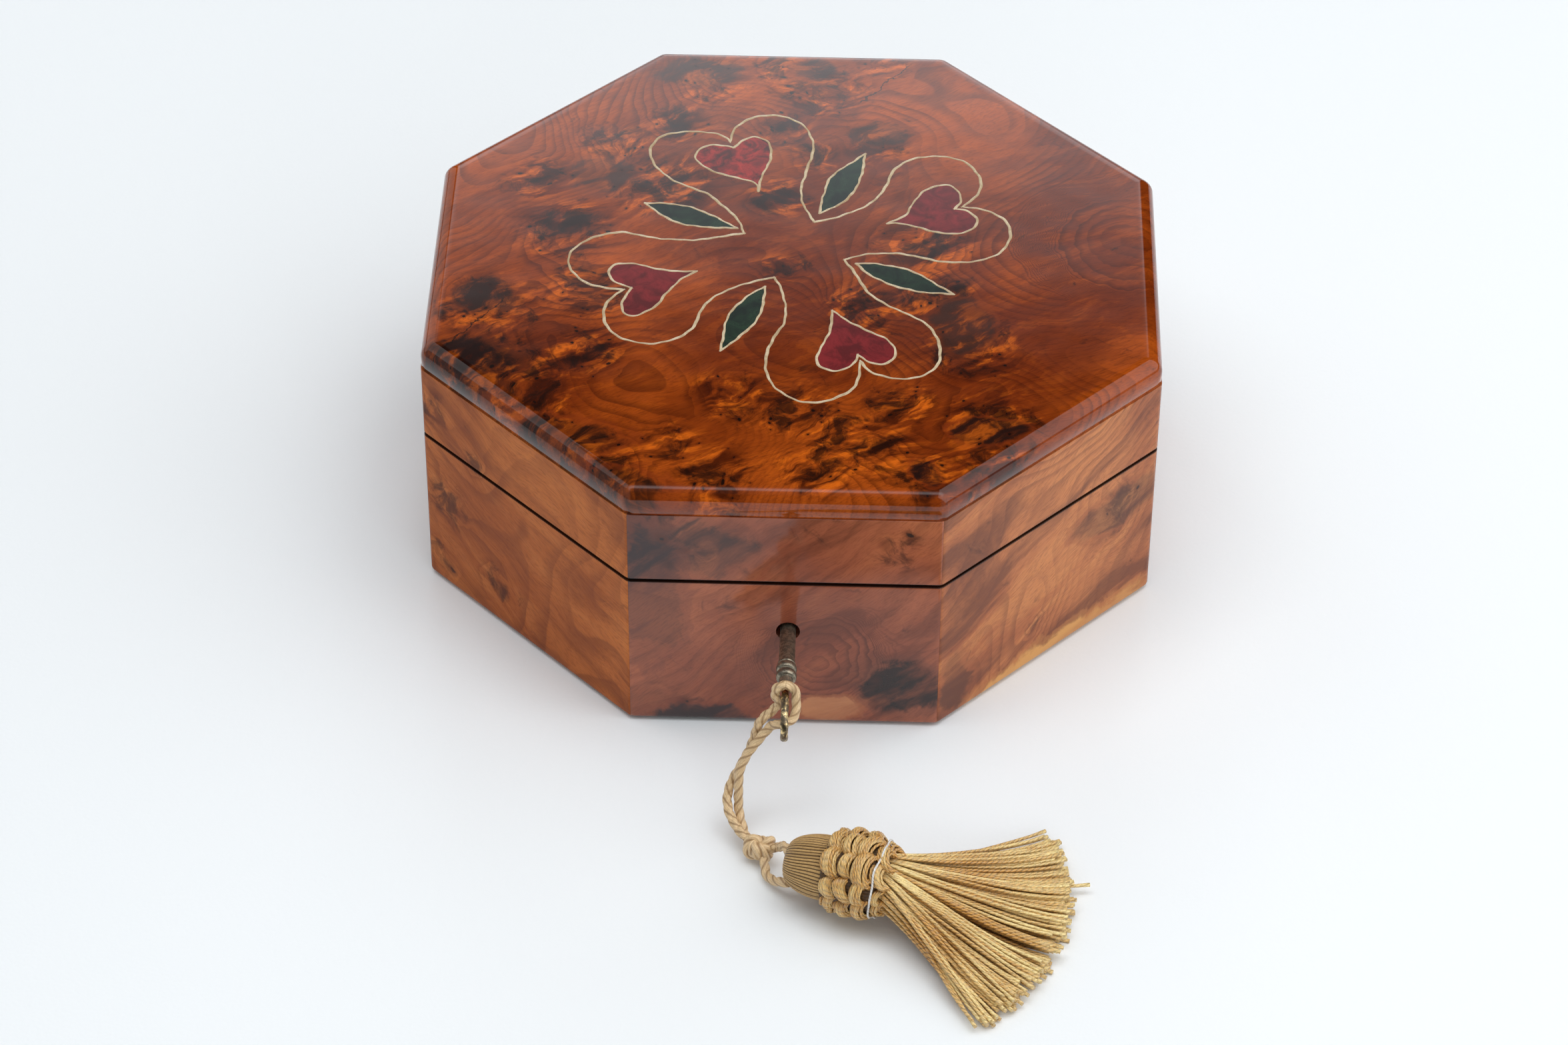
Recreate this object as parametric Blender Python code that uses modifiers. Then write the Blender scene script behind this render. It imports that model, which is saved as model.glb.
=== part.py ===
# Octagonal jewellery box in burl wood, with a hinged lid, a flower of hearts and leaves let
# into the lid, a lock with its key, and a doubled cord with a tassel on the key.
# Metres, +Z up. The origin is the middle of the underside, and the front faces -Y.

from math import cos, pi, radians, sin, sqrt, tan

import bmesh
import bpy
import numpy as np
from mathutils import Vector

MM = 0.001

# Box
FACES = ("front", "front_right", "right", "back_right", "back", "back_left", "left", "front_left")
SIDES = len(FACES)
ACROSS_FLATS = 200 * MM
WALL = 9 * MM
BODY_HEIGHT = 50 * MM
SEAM = 0.7 * MM  # open line between the body and the lid
LID_SIDE_HEIGHT = 22.2 * MM
LID_PANEL_THICKNESS = 7.5 * MM
LID_PANEL_SETBACK = 0.5 * MM  # the lid panel's edge stands back from the sides
LID_PANEL_ROUND = 4 * MM
LID_CORNER_SHARE = 0.12  # of the corner radius that is left at the lid's upper surface
CORNER_RADIUS = 4.5 * MM  # upright corners, sanded round
BOTTOM_THICKNESS = 6 * MM
FOOT_RELIEF = 0.8 * MM  # the sides stop short of the table, the bottom panel stands on it
FOOT_BEVEL = 1.2 * MM
FIT = 0.3 * MM  # clearance between neighbouring pieces

# Inlay
PATTERN_PLACE = Vector((0, 5.5 * MM))
PATTERN_TURN = radians(23)
PETALS = 4
LINE_WIDTH = 0.8 * MM
INLAY_DEPTH = 1.2 * MM
INLAY_FIT = 0.12 * MM
CUSP_REACH = 14.2 * MM  # from the pattern's middle to the cusps between petals
PETAL_REACH = 60.7 * MM
PETAL_HALF_WIDTH = 24.2 * MM
PETAL_NOTCH_DEPTH = 8.5 * MM
HEART_TIP = 29 * MM  # from the pattern's middle
HEART_GAP = 2.6 * MM  # between the notches of a heart and its petal
HEART_NOTCH_DEPTH = 4 * MM
HEART_HALF_WIDTH = 10 * MM
LEAF_GAP = 3.8 * MM  # between a cusp and the leaf beyond it
LEAF_LENGTH = 29 * MM
LEAF_HALF_WIDTH = 3.7 * MM

# Hinges
HINGE_SPREAD = 48 * MM  # between the middles of the two hinges
HINGE_LENGTH = 22 * MM
HINGE_LEAF_DEPTH = 6.5 * MM  # into the rim
HINGE_LEAF_THICKNESS = 1 * MM
KNUCKLE_RADIUS = 1.6 * MM
KNUCKLE_SHARE = 1 / 3  # the lid's knuckle is the middle third
PIN_RADIUS = 0.7 * MM
PIN_FIT = 0.2 * MM

# Lock
LOCK_WIDTH = 32 * MM
LOCK_HEIGHT = 27 * MM
LOCK_THICKNESS = 4.3 * MM
STRIKER_THICKNESS = 1 * MM
STAPLE_WIDTH = 8 * MM
STAPLE_THICKNESS = 2 * MM
STAPLE_DROP = 5.5 * MM

# Key
KEY_X = 1 * MM
KEY_DROP = 16.6 * MM  # from the body's rim to the key's axis
KEYHOLE_RADIUS = 3.2 * MM
KEYHOLE_SLOT_WIDTH = 2.8 * MM
KEYHOLE_SLOT_DROP = 6.4 * MM  # from the key's axis down, for the bit
KEY_INSIDE = 7 * MM  # the part of the shank that is in the front board and the lock
KEY_SHANK_RADIUS = 2.1 * MM
KEY_SHANK_OUTSIDE = 14.1 * MM
KEY_COLLAR_LENGTH = 5.1 * MM
KEY_COLLAR_RADIUS = 2.75 * MM
KEY_COLLAR_BEADS = 2
KEY_GROOVE_SHARE = 0.85  # of the collar's radius, between its beads
KEY_NECK_LENGTH = 3.6 * MM
KEY_NECK_TAPER = (0.75, 0.5)  # of the collar's radius, at the neck's two ends
KEY_BIT = Vector((1.8, 2.2, 3.2)) * MM
BOW_LENGTH = 19 * MM
BOW_HEIGHT = 11 * MM
BOW_RIM = 2 * MM
BOW_THICKNESS = 1.9 * MM

# Cord and tassel
CORD_DIAMETER = 2.6 * MM
STRAND_GAP = 0.35 * MM
KNOT_HALF_SIZES = Vector((4.3, 3.9, 3.7)) * MM
HEAD_RADIUS = 8 * MM
HEAD_LENGTH = 12 * MM
HEAD_START_SHARE = 0.42  # of the head's radius, where the cord goes in
HEAD_END_SHARE = 0.94
RUFF_RADIUS = 11.8 * MM
RUFF_LENGTH = 14 * MM
RUFF_RINGS = 3
RUFF_LOBES = 8
RUFF_WAIST_SHARE = 0.78  # of the ruff's radius, between its rings
RUFF_LOBE_DEPTH = 0.13
TASSEL_HEADING = radians(-18.8)
TASSEL_RISE = radians(4)
SKIRT_GAP = 1.5 * MM
SKIRT_LENGTH = 50 * MM
SKIRT_START_RADIUS = 8 * MM
SKIRT_SPREAD = radians(43)  # either side of the fan's middle
SKIRT_HEADING = radians(-12)
SKIRT_END_THICKNESS = 5.6 * MM
SKIRT_SETTLING = 1.4  # the higher, the sooner the skirt lies flat
TABLE_GAP = 0.3 * MM  # under the tassel

# Routes of the cord in millimetres, sideways from the key's axis and out from the bow's middle.
# The pair of strands: height as a share of the key's, and last the slant in degrees of the line
# that joins the two strands
PAIR_ROUTE = [
    (-5.8, 1.0, 0.856, 15), (-8.4, 2.5, 0.707, -35), (-11.0, 4.2, 0.551, -53),
    (-12.7, 6.2, 0.404, -30), (-13.3, 8.6, 0.287, 0), (-12.7, 11.1, 0.201, 20),
    (-11.1, 14.4, 0.141, 45), (-9.4, 17.6, 0.129, 60),
]
# The turn round the bow: sideways as a share of the reach that clears the bow's side, out in cord
# diameters, up as a share of the reach that clears the bow's top
HITCH_ROUTE = [
    (-2.12, -0.15, -0.34), (-1.25, -0.42, -0.07), (-0.67, -0.69, 0.20), (-1.02, -0.88, 0.55),
    (-0.82, -0.96, 0.87), (0.0, -0.96, 1.007), (0.82, -0.92, 0.89), (1.10, -0.73, 0.59),
    (1.14, -0.27, 0.24), (1.06, 0.31, -0.01), (0.59, 0.85, -0.155), (-0.12, 1.12, -0.20),
    (-0.78, 1.12, -0.27), (-1.25, 0.69, -0.45),
]
# The knot, the head's start and the two ends: last the height
KNOT_PLACE = (-5.7, 21.1, 4.4)
TASSEL_PLACE = (1.6, 32.2)
UPPER_END_ROUTE = [(-1.1, 22.6, 6.2), (-0.1, 25.1, 9.0), (1.1, 28.0, 11.6)]
LOWER_END_ROUTE = [(-4.4, 25.9, 3.2), (-3.9, 28.5, 2.2), (-2.2, 31.3, 2.8), (-0.2, 33.5, 4.4)]
TURNS_KEPT = 10  # points of each strand that lead into the turn round the bow

# Derived places
HALF_STEP = pi / SIDES
APOTHEM = ACROSS_FLATS / 2
INNER_APOTHEM = APOTHEM - WALL
LID_BASE = BODY_HEIGHT + SEAM
LID_SIDE_TOP = LID_BASE + LID_SIDE_HEIGHT
LID_PANEL_BASE = LID_SIDE_TOP + FIT
TOP = LID_PANEL_BASE + LID_PANEL_THICKNESS
HINGE_AXIS_Y = APOTHEM + KNUCKLE_RADIUS + FIT
HINGE_AXIS_Z = BODY_HEIGHT + SEAM / 2
PETAL_NOTCH = PETAL_REACH - PETAL_NOTCH_DEPTH
HEART_NOTCH = PETAL_NOTCH - HEART_GAP
HEART_REACH = HEART_NOTCH + HEART_NOTCH_DEPTH
LEAF_START = CUSP_REACH + LEAF_GAP
LEAF_END = LEAF_START + LEAF_LENGTH
KEY_Z = BODY_HEIGHT - KEY_DROP
NECK_START = KEY_SHANK_OUTSIDE + KEY_COLLAR_LENGTH
NECK_END = NECK_START + KEY_NECK_LENGTH
BOW_OUT = NECK_END - BOW_RIM / 2 + BOW_LENGTH / 2  # from the front board to the bow's middle
BESIDE_BOW = (BOW_THICKNESS + CORD_DIAMETER) / 2 + FIT
ABOVE_BOW = (BOW_HEIGHT + CORD_DIAMETER) / 2 + FIT
STRAND_SPACING = CORD_DIAMETER + STRAND_GAP

# Mesh resolution
CORNER_STEPS = 2  # to each half of an upright corner
ROUND_STEPS = 4
CURVE_STEPS = 4
ROUND_SIDES = 12  # knuckles and pins
KEY_SIDES = 16
KEYHOLE_SIDES = 24
BOW_POINTS = 20
STEP_ALONG_CORD = 1.9 * MM
STEP_ROUND_BOW = 1.25 * MM
STEPS_PER_STRETCH = 8  # of a smooth curve between two points of its route
KNOT_SEGMENTS = 16
KNOT_RINGS = 10
HEAD_SIDES = 20
HEAD_STATIONS = 8
RUFF_SIDES = 24
RUFF_STEPS = 4  # to a ring
SKIRT_SIDES = 24
SKIRT_STATIONS = 9


# Scene and collections

def clear_scene():
    for obj in list(bpy.data.objects):
        bpy.data.objects.remove(obj, do_unlink=True)


def new_collection(name, hidden=False):
    collection = bpy.data.collections.new(name)
    collection.hide_render = hidden
    bpy.context.scene.collection.children.link(collection)
    return collection


clear_scene()
PARTS = new_collection("jewellery_box")
CUTTERS = new_collection("cutters", hidden=True)


# Materials

def material(name, colour, roughness, metallic=0.0):
    made = bpy.data.materials.new(name)
    made.use_nodes = True
    shader = made.node_tree.nodes["Principled BSDF"]
    shader.inputs["Base Color"].default_value = (*colour, 1)
    shader.inputs["Roughness"].default_value = roughness
    shader.inputs["Metallic"].default_value = metallic
    return made


BURL_TOP = material("burl_top", (0.20, 0.055, 0.018), 0.2)
BURL_SIDE = material("burl_side", (0.17, 0.055, 0.024), 0.3)
PLAIN_WOOD = material("plain_wood", (0.30, 0.16, 0.075), 0.6)
RED_INLAY = material("red_inlay", (0.16, 0.018, 0.016), 0.3)
GREEN_INLAY = material("green_inlay", (0.014, 0.028, 0.016), 0.3)
PALE_INLAY = material("pale_inlay", (0.56, 0.43, 0.26), 0.4)
BRASS = material("brass", (0.60, 0.42, 0.16), 0.35, 1.0)
BRONZE = material("bronze", (0.09, 0.07, 0.045), 0.4, 1.0)
CORD = material("cord", (0.50, 0.35, 0.18), 0.8)
TASSEL = material("tassel", (0.45, 0.29, 0.10), 0.6)


# Helpers that place and convert objects

def place(obj, paint=None, parent=None):
    for collection in list(obj.users_collection):
        collection.objects.unlink(obj)
    PARTS.objects.link(obj)
    if paint:
        obj.data.materials.clear()
        obj.data.materials.append(paint)
    if parent:
        obj.parent = parent
        obj.matrix_parent_inverse = parent.matrix_world.inverted()
    return obj


def as_cutter(obj):
    for collection in list(obj.users_collection):
        collection.objects.unlink(obj)
    CUTTERS.objects.link(obj)
    obj.hide_render = True
    obj.display_type = "WIRE"
    return obj


def add_boolean(obj, other, operation="DIFFERENCE"):
    modifier = obj.modifiers.new(other.name, "BOOLEAN")
    modifier.operation = operation
    modifier.solver = "EXACT"
    modifier.object = other
    return modifier


def curve_to_mesh(obj):
    # The same shape as a mesh with its caps welded on, in place of the curve.
    bpy.context.view_layer.update()
    graph = bpy.context.evaluated_depsgraph_get()
    mesh = bpy.data.meshes.new_from_object(obj.evaluated_get(graph))
    bm = bmesh.new()
    bm.from_mesh(mesh)
    bmesh.ops.remove_doubles(bm, verts=bm.verts, dist=0.001 * MM)
    bmesh.ops.recalc_face_normals(bm, faces=bm.faces)
    bm.to_mesh(mesh)
    bm.free()
    made = bpy.data.objects.new(obj.name + "_mesh", mesh)
    made.matrix_world = obj.matrix_world
    bpy.context.scene.collection.objects.link(made)
    name = obj.name
    bpy.data.objects.remove(obj, do_unlink=True)
    made.name = name
    return made


def flat_curve(name, rings, bottom, top):
    # A flat outline, with a hole for each further ring, as thick as bottom to top.
    curve = bpy.data.curves.new(name, "CURVE")
    curve.dimensions = "2D"
    curve.fill_mode = "BOTH"
    curve.extrude = (top - bottom) / 2
    for ring in rings:
        spline = curve.splines.new("POLY")
        spline.points.add(len(ring) - 1)
        spline.use_cyclic_u = True
        for point, (x, y) in zip(spline.points, ring):
            point.co = (x, y, 0, 1)
    obj = bpy.data.objects.new(name, curve)
    obj.location.z = (bottom + top) / 2
    bpy.context.scene.collection.objects.link(obj)
    return obj


def flat_piece(name, rings, bottom, top):
    return curve_to_mesh(flat_curve(name, rings, bottom, top))


def box(name, low, high):
    low, high = Vector(low), Vector(high)
    bpy.ops.mesh.primitive_cube_add(size=1, location=(low + high) / 2)
    obj = bpy.context.object
    obj.name = name
    for vertex in obj.data.vertices:
        vertex.co = Vector(a * b for a, b in zip(vertex.co, high - low))
    return obj


def rod(name, radius, length, centre, turn, sides):
    bpy.ops.mesh.primitive_cylinder_add(
        vertices=sides, radius=radius, depth=length, location=centre, rotation=turn
    )
    obj = bpy.context.object
    obj.name = name
    return obj


def tube(name, points, diameter, paint):
    # A round cord through the points, with closed ends.
    curve = bpy.data.curves.new(name, "CURVE")
    curve.dimensions = "3D"
    curve.bevel_depth = diameter / 2
    curve.bevel_resolution = 2
    curve.use_fill_caps = True
    spline = curve.splines.new("POLY")
    spline.points.add(len(points) - 1)
    for point, xyz in zip(spline.points, points):
        point.co = (*xyz, 1)
    return place(bpy.data.objects.new(name, curve), paint)


def loft(name, rings):
    # A closed body through rings of equally many points, capped at both ends.
    bm = bmesh.new()
    loops = [[bm.verts.new(point) for point in ring] for ring in rings]
    for near, far in zip(loops, loops[1:]):
        for i in range(len(near)):
            bm.faces.new((near[i - 1], near[i], far[i], far[i - 1]))
    bm.faces.new(loops[0])
    bm.faces.new(loops[-1])
    bmesh.ops.recalc_face_normals(bm, faces=bm.faces)
    mesh = bpy.data.meshes.new(name)
    bm.to_mesh(mesh)
    bm.free()
    return bpy.data.objects.new(name, mesh)


# Outlines

def octagon(apothem, radius, steps=2 * CORNER_STEPS):
    # Corners are arcs of the given radius, with steps to each.
    ring = []
    for side in range(SIDES):
        middle = HALF_STEP * (2 * side + 1)
        centre = (apothem - radius) / cos(HALF_STEP) * Vector((cos(middle), sin(middle)))
        for step in range(steps + 1):
            angle = middle - HALF_STEP + 2 * HALF_STEP * step / steps
            ring.append(centre + radius * Vector((cos(angle), sin(angle))))
    return ring


def board_outline():
    # The front board in plan, mitred at both ends, with half of the fit taken from each mitre.
    flat_end = (APOTHEM - CORNER_RADIUS) * tan(HALF_STEP)
    arc_centre = Vector((flat_end, CORNER_RADIUS - APOTHEM))
    from_mitre = Vector((-cos(HALF_STEP), -sin(HALF_STEP))) * FIT / 2
    right = [Vector((INNER_APOTHEM * tan(HALF_STEP), -INNER_APOTHEM)) + from_mitre]
    for step in range(CORNER_STEPS + 1):
        angle = -pi / 2 + HALF_STEP * (1 - step / CORNER_STEPS)
        point = arc_centre + CORNER_RADIUS * Vector((cos(angle), sin(angle)))
        right.append(point + from_mitre if step == 0 else point)
    left = [Vector((-point.x, point.y)) for point in reversed(right)]
    return right + left


def bezier(start, start_handle, end_handle, end):
    # Points from start up to but not including end.
    points = []
    for step in range(CURVE_STEPS):
        t = step / CURVE_STEPS
        near = start * (1 - t) ** 3 + start_handle * (3 * t * (1 - t) ** 2)
        points.append(near + end_handle * (3 * t * t * (1 - t)) + end * t**3)
    return points


def mirrored(half):
    # A half outline that starts and ends on the axis x = 0, made whole.
    return half + [Vector((-point.x, point.y)) for point in reversed(half[1:-1])]


def petal_half():
    # From the cusp between two petals out round one lobe to the notch on the petal's axis. The
    # waist, flank and crown are given as shares of the petal's half width and reach.
    def at(x, y):
        return Vector((x * PETAL_HALF_WIDTH, y * PETAL_REACH))

    cusp = CUSP_REACH * Vector((sin(pi / PETALS), cos(pi / PETALS)))
    waist, flank, crown = at(0.73, 0.53), at(1, 0.84), at(0.48, 1)
    notch = Vector((0, PETAL_NOTCH))
    points = bezier(cusp, cusp + at(-0.02, 0.15), waist + at(-0.25, -0.12), waist)
    points += bezier(waist, waist + at(0.21, 0.10), flank + at(0.04, -0.10), flank)
    points += bezier(flank, flank + at(-0.04, 0.10), crown + at(0.22, 0), crown)
    points += bezier(crown, crown + at(-0.22, 0), notch + at(0.09, 0.08), notch)
    return points + [notch]


def petals_outline():
    # All the petals as one closed line.
    half = petal_half()
    petal = [Vector((-point.x, point.y)) for point in half] + list(reversed(half))[1:-1]
    ring = []
    for k in range(PETALS):
        ring += [turned(point, -2 * pi * k / PETALS) for point in petal]
    return ring


def heart_outline():
    # The flank and crown are given as shares of the heart's half width and length.
    length = HEART_REACH - HEART_TIP

    def at(x, y):
        return Vector((x * HEART_HALF_WIDTH, y * length))

    tip, notch = Vector((0, HEART_TIP)), Vector((0, HEART_NOTCH))
    flank, crown = tip + at(0.94, 0.55), tip + at(0.55, 1)
    half = bezier(tip, tip + at(0.26, 0.2), flank + at(-0.26, -0.21), flank)
    half += bezier(flank, flank + at(0.22, 0.19), crown + at(0.44, 0), crown)
    half += bezier(crown, crown + at(-0.28, 0), notch + at(0.08, 0.09), notch)
    return mirrored(half + [notch])


def leaf_outline():
    # A lens whose sides are single curves from tip to tip.
    start, end = Vector((0, LEAF_START)), Vector((0, LEAF_END))
    swell = Vector((LEAF_HALF_WIDTH * 4 / 3, 0.28 * LEAF_LENGTH))
    taper = Vector((swell.x, -swell.y))
    half = bezier(start, start + swell, end + taper, end)
    return mirrored(half + [end])


def turned(point, angle):
    across = Vector((-point.y, point.x))
    return point * cos(angle) + across * sin(angle)


def offset(ring, distance):
    # The ring moved outwards by distance, with mitred corners no longer than three times it.
    area = sum(a.x * b.y - b.x * a.y for a, b in zip(ring, ring[1:] + ring[:1]))
    outwards = 1 if area > 0 else -1
    moved = []
    for i, point in enumerate(ring):
        before = (point - ring[i - 1]).normalized()
        after = (ring[(i + 1) % len(ring)] - point).normalized()
        normal = Vector((before.y + after.y, -before.x - after.x)).normalized() * outwards
        slant = max(normal.dot(Vector((after.y, -after.x)) * outwards), 1 / 3)
        moved.append(point + normal * (distance / slant))
    return moved


def in_pattern(ring, angle):
    return [turned(point, angle + PATTERN_TURN - pi / 2) + PATTERN_PLACE for point in ring]


# Box body and lid

def make_boards():
    # Eight mitred boards for the body and eight for the lid's sides.
    body, lid = [], []
    outline = board_outline()
    for name, base, top, made in (
        ("body_side_", FOOT_RELIEF, BODY_HEIGHT, body),
        ("lid_side_", LID_BASE, LID_SIDE_TOP, lid),
    ):
        for side, face in enumerate(FACES):
            board = place(flat_piece(name + face, [outline], base, top), BURL_SIDE)
            board.rotation_euler.z = 2 * HALF_STEP * side
            made.append(board)
    for board in body:
        round_foot(board)
    return body, lid


def round_foot(board):
    # The lower outer edge of a body board.
    bm = bmesh.new()
    bm.from_mesh(board.data)
    low = min(vertex.co.z for vertex in bm.verts)
    outer = -APOTHEM * cos(HALF_STEP) + WALL / 3
    bmesh.ops.dissolve_limit(bm, angle_limit=radians(1), verts=bm.verts, edges=bm.edges)
    foot = [
        edge
        for edge in bm.edges
        if all(abs(vertex.co.z - low) < 0.01 * MM and vertex.co.y < outer for vertex in edge.verts)
    ]
    bmesh.ops.bevel(bm, geom=foot, offset=FOOT_BEVEL, segments=2, affect="EDGES", profile=0.5)
    bm.to_mesh(board.data)
    bm.free()


def make_bottom():
    ring = octagon(INNER_APOTHEM - FIT, 2 * FIT, 2)
    return place(flat_piece("bottom_panel", [ring], 0, BOTTOM_THICKNESS), PLAIN_WOOD)


def make_lid_panel():
    # A slab whose upper edge is rounded over: rings of the octagon, each further in as it rises.
    rings = [[(*p, LID_PANEL_BASE) for p in octagon(APOTHEM - LID_PANEL_SETBACK, CORNER_RADIUS)]]
    for step in range(ROUND_STEPS + 1):
        angle = pi / 2 * step / ROUND_STEPS
        inset = LID_PANEL_ROUND * (1 - cos(angle))
        height = TOP - LID_PANEL_ROUND * (1 - sin(angle))
        corner = CORNER_RADIUS * (1 - (1 - LID_CORNER_SHARE) * (1 - cos(angle)))
        ring = octagon(APOTHEM - LID_PANEL_SETBACK - inset, corner)
        rings.append([(*point, height) for point in ring])
    return place(loft("lid_panel", rings), BURL_TOP)


# Inlay

def make_inlay(panel):
    # The lines, hearts and leaves lie flush in pockets cut into the lid panel.
    bottom = TOP - INLAY_DEPTH + INLAY_FIT
    half_line = LINE_WIDTH / 2
    petals = in_pattern(petals_outline(), 0)
    line = [offset(petals, half_line), offset(petals, -half_line)]
    pieces = [place(flat_piece("line_petals", line, bottom, TOP), PALE_INLAY)]
    groove = [offset(petals, half_line + INLAY_FIT), offset(petals, -half_line - INLAY_FIT)]
    cut_pocket(panel, "groove_petals", groove)
    motifs = (
        ("heart", heart_outline(), 0, RED_INLAY),
        ("leaf", leaf_outline(), pi / PETALS, GREEN_INLAY),
    )
    for name, outline, turn, paint in motifs:
        for k in range(PETALS):
            ring = in_pattern(outline, turn + 2 * pi * k / PETALS)
            line = [offset(ring, half_line), offset(ring, -half_line)]
            core = [offset(ring, -half_line - INLAY_FIT)]
            pieces.append(place(flat_piece(f"line_{name}_{k + 1}", line, bottom, TOP), PALE_INLAY))
            pieces.append(place(flat_piece(f"{name}_{k + 1}", core, bottom, TOP), paint))
            cut_pocket(panel, f"pocket_{name}_{k + 1}", [offset(ring, half_line + INLAY_FIT)])
    return pieces


def cut_pocket(panel, name, rings):
    above = TOP + INLAY_DEPTH
    add_boolean(panel, as_cutter(flat_piece(name, rings, TOP - INLAY_DEPTH, above)))


# Hinges

def make_hinge(name, x, back_board, lid_board):
    # Two leaves let into the rims, with three knuckles on a pin behind the box.
    half = HINGE_LENGTH / 2
    knuckle = HINGE_LENGTH * KNUCKLE_SHARE
    leaf_start = APOTHEM - HINGE_LEAF_DEPTH
    low, high = BODY_HEIGHT - HINGE_LEAF_THICKNESS, LID_BASE + HINGE_LEAF_THICKNESS
    left, right = x - half, x + half
    body_leaf = box(name + "_body_leaf", (left, leaf_start, low), (right, APOTHEM, BODY_HEIGHT))
    lid_leaf = box(name + "_lid_leaf", (left, leaf_start, LID_BASE), (right, APOTHEM, high))
    outer = (HINGE_LENGTH - knuckle) / 2 - FIT
    spans = [
        (body_leaf, left + outer / 2, outer, low, BODY_HEIGHT),
        (body_leaf, right - outer / 2, outer, low, BODY_HEIGHT),
        (lid_leaf, x, knuckle, LID_BASE, high),
    ]
    for i, (leaf, middle, length, base, top) in enumerate(spans):
        barrel = hinge_rod(f"{name}_knuckle_{i}", KNUCKLE_RADIUS, length, middle)
        web = box(
            f"{name}_web_{i}",
            (middle - length / 2, APOTHEM - KNUCKLE_RADIUS, base),
            (middle + length / 2, HINGE_AXIS_Y - (KNUCKLE_RADIUS + PIN_RADIUS) / 2, top),
        )
        add_boolean(leaf, as_cutter(web), "UNION")
        add_boolean(leaf, as_cutter(barrel), "UNION")
    bore = as_cutter(hinge_rod(name + "_bore", PIN_RADIUS + PIN_FIT, 2 * HINGE_LENGTH, x))
    add_boolean(body_leaf, bore)
    add_boolean(lid_leaf, bore)
    pin = hinge_rod(name + "_pin", PIN_RADIUS, HINGE_LENGTH, x)
    for piece in (body_leaf, lid_leaf, pin):
        place(piece, BRASS)
    for board, base, top in (
        (back_board, low - FIT, BODY_HEIGHT + WALL),
        (lid_board, LID_BASE - WALL, high + FIT),
    ):
        mortise = box(
            f"{name}_mortise_{board.name}",
            (left - FIT, leaf_start - FIT, base),
            (right + FIT, APOTHEM + WALL, top),
        )
        add_boolean(board, as_cutter(mortise))
    return lid_leaf


def hinge_rod(name, radius, length, x):
    centre = (x, HINGE_AXIS_Y, HINGE_AXIS_Z)
    return rod(name, radius, length, centre, (0, pi / 2, 0), ROUND_SIDES)


# Lock and key

def make_lock(front_board, lid_board):
    inside = -INNER_APOTHEM
    face = inside - LOCK_THICKNESS
    half = LOCK_WIDTH / 2
    base = BODY_HEIGHT - LOCK_HEIGHT
    lock = place(box("lock_case", (-half, face, base), (half, inside, BODY_HEIGHT)), BRASS)
    recess = box(
        "lock_recess",
        (-half - FIT, face - FIT, base - FIT),
        (half + FIT, inside + WALL, BODY_HEIGHT + WALL),
    )
    add_boolean(front_board, as_cutter(recess))
    middle = (inside + face) / 2
    striker = box(
        "lock_striker",
        (-half, face, LID_BASE),
        (half, inside, LID_BASE + STRIKER_THICKNESS),
    )
    staple_half = Vector((STAPLE_WIDTH, STAPLE_THICKNESS)) / 2
    staple = box(
        "staple",
        (-staple_half.x, middle - staple_half.y, LID_BASE - STAPLE_DROP),
        (staple_half.x, middle + staple_half.y, LID_BASE + STRIKER_THICKNESS / 2),
    )
    add_boolean(striker, as_cutter(staple), "UNION")
    place(striker, BRASS)
    socket = box(
        "staple_socket",
        (-staple_half.x - FIT, middle - staple_half.y - FIT, LID_BASE - STAPLE_DROP - SEAM - FIT),
        (staple_half.x + FIT, middle + staple_half.y + FIT, BODY_HEIGHT + WALL),
    )
    add_boolean(lock, as_cutter(socket))
    plate_recess = box(
        "striker_recess",
        (-half - FIT, face - FIT, LID_BASE - WALL),
        (half + FIT, inside + WALL, LID_BASE + STRIKER_THICKNESS + FIT),
    )
    add_boolean(lid_board, as_cutter(plate_recess))
    return lock, striker


def key_profile():
    # Radius and distance from the front board, from the neck's end to the end inside the lock.
    profile = [(0, NECK_END)]
    for share, distance in zip(KEY_NECK_TAPER[::-1], (NECK_END, NECK_START)):
        profile.append((share * KEY_COLLAR_RADIUS, distance))
    bead = KEY_COLLAR_LENGTH / KEY_COLLAR_BEADS
    flank = (1 + KEY_GROOVE_SHARE) / 2
    for k in range(KEY_COLLAR_BEADS):
        top = NECK_START - bead * k
        for share, swell in ((0.15, flank), (0.5, 1), (0.85, flank), (1, KEY_GROOVE_SHARE)):
            profile.append((KEY_COLLAR_RADIUS * swell, top - bead * share))
    profile.append((KEY_SHANK_RADIUS, KEY_SHANK_OUTSIDE - KEY_SHANK_RADIUS / 2))
    return profile + [(KEY_SHANK_RADIUS, -KEY_INSIDE), (0, -KEY_INSIDE)]


def oval(half_length, half_height):
    angles = [2 * pi * i / BOW_POINTS for i in range(BOW_POINTS)]
    return [Vector((half_length * cos(angle), half_height * sin(angle))) for angle in angles]


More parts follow.
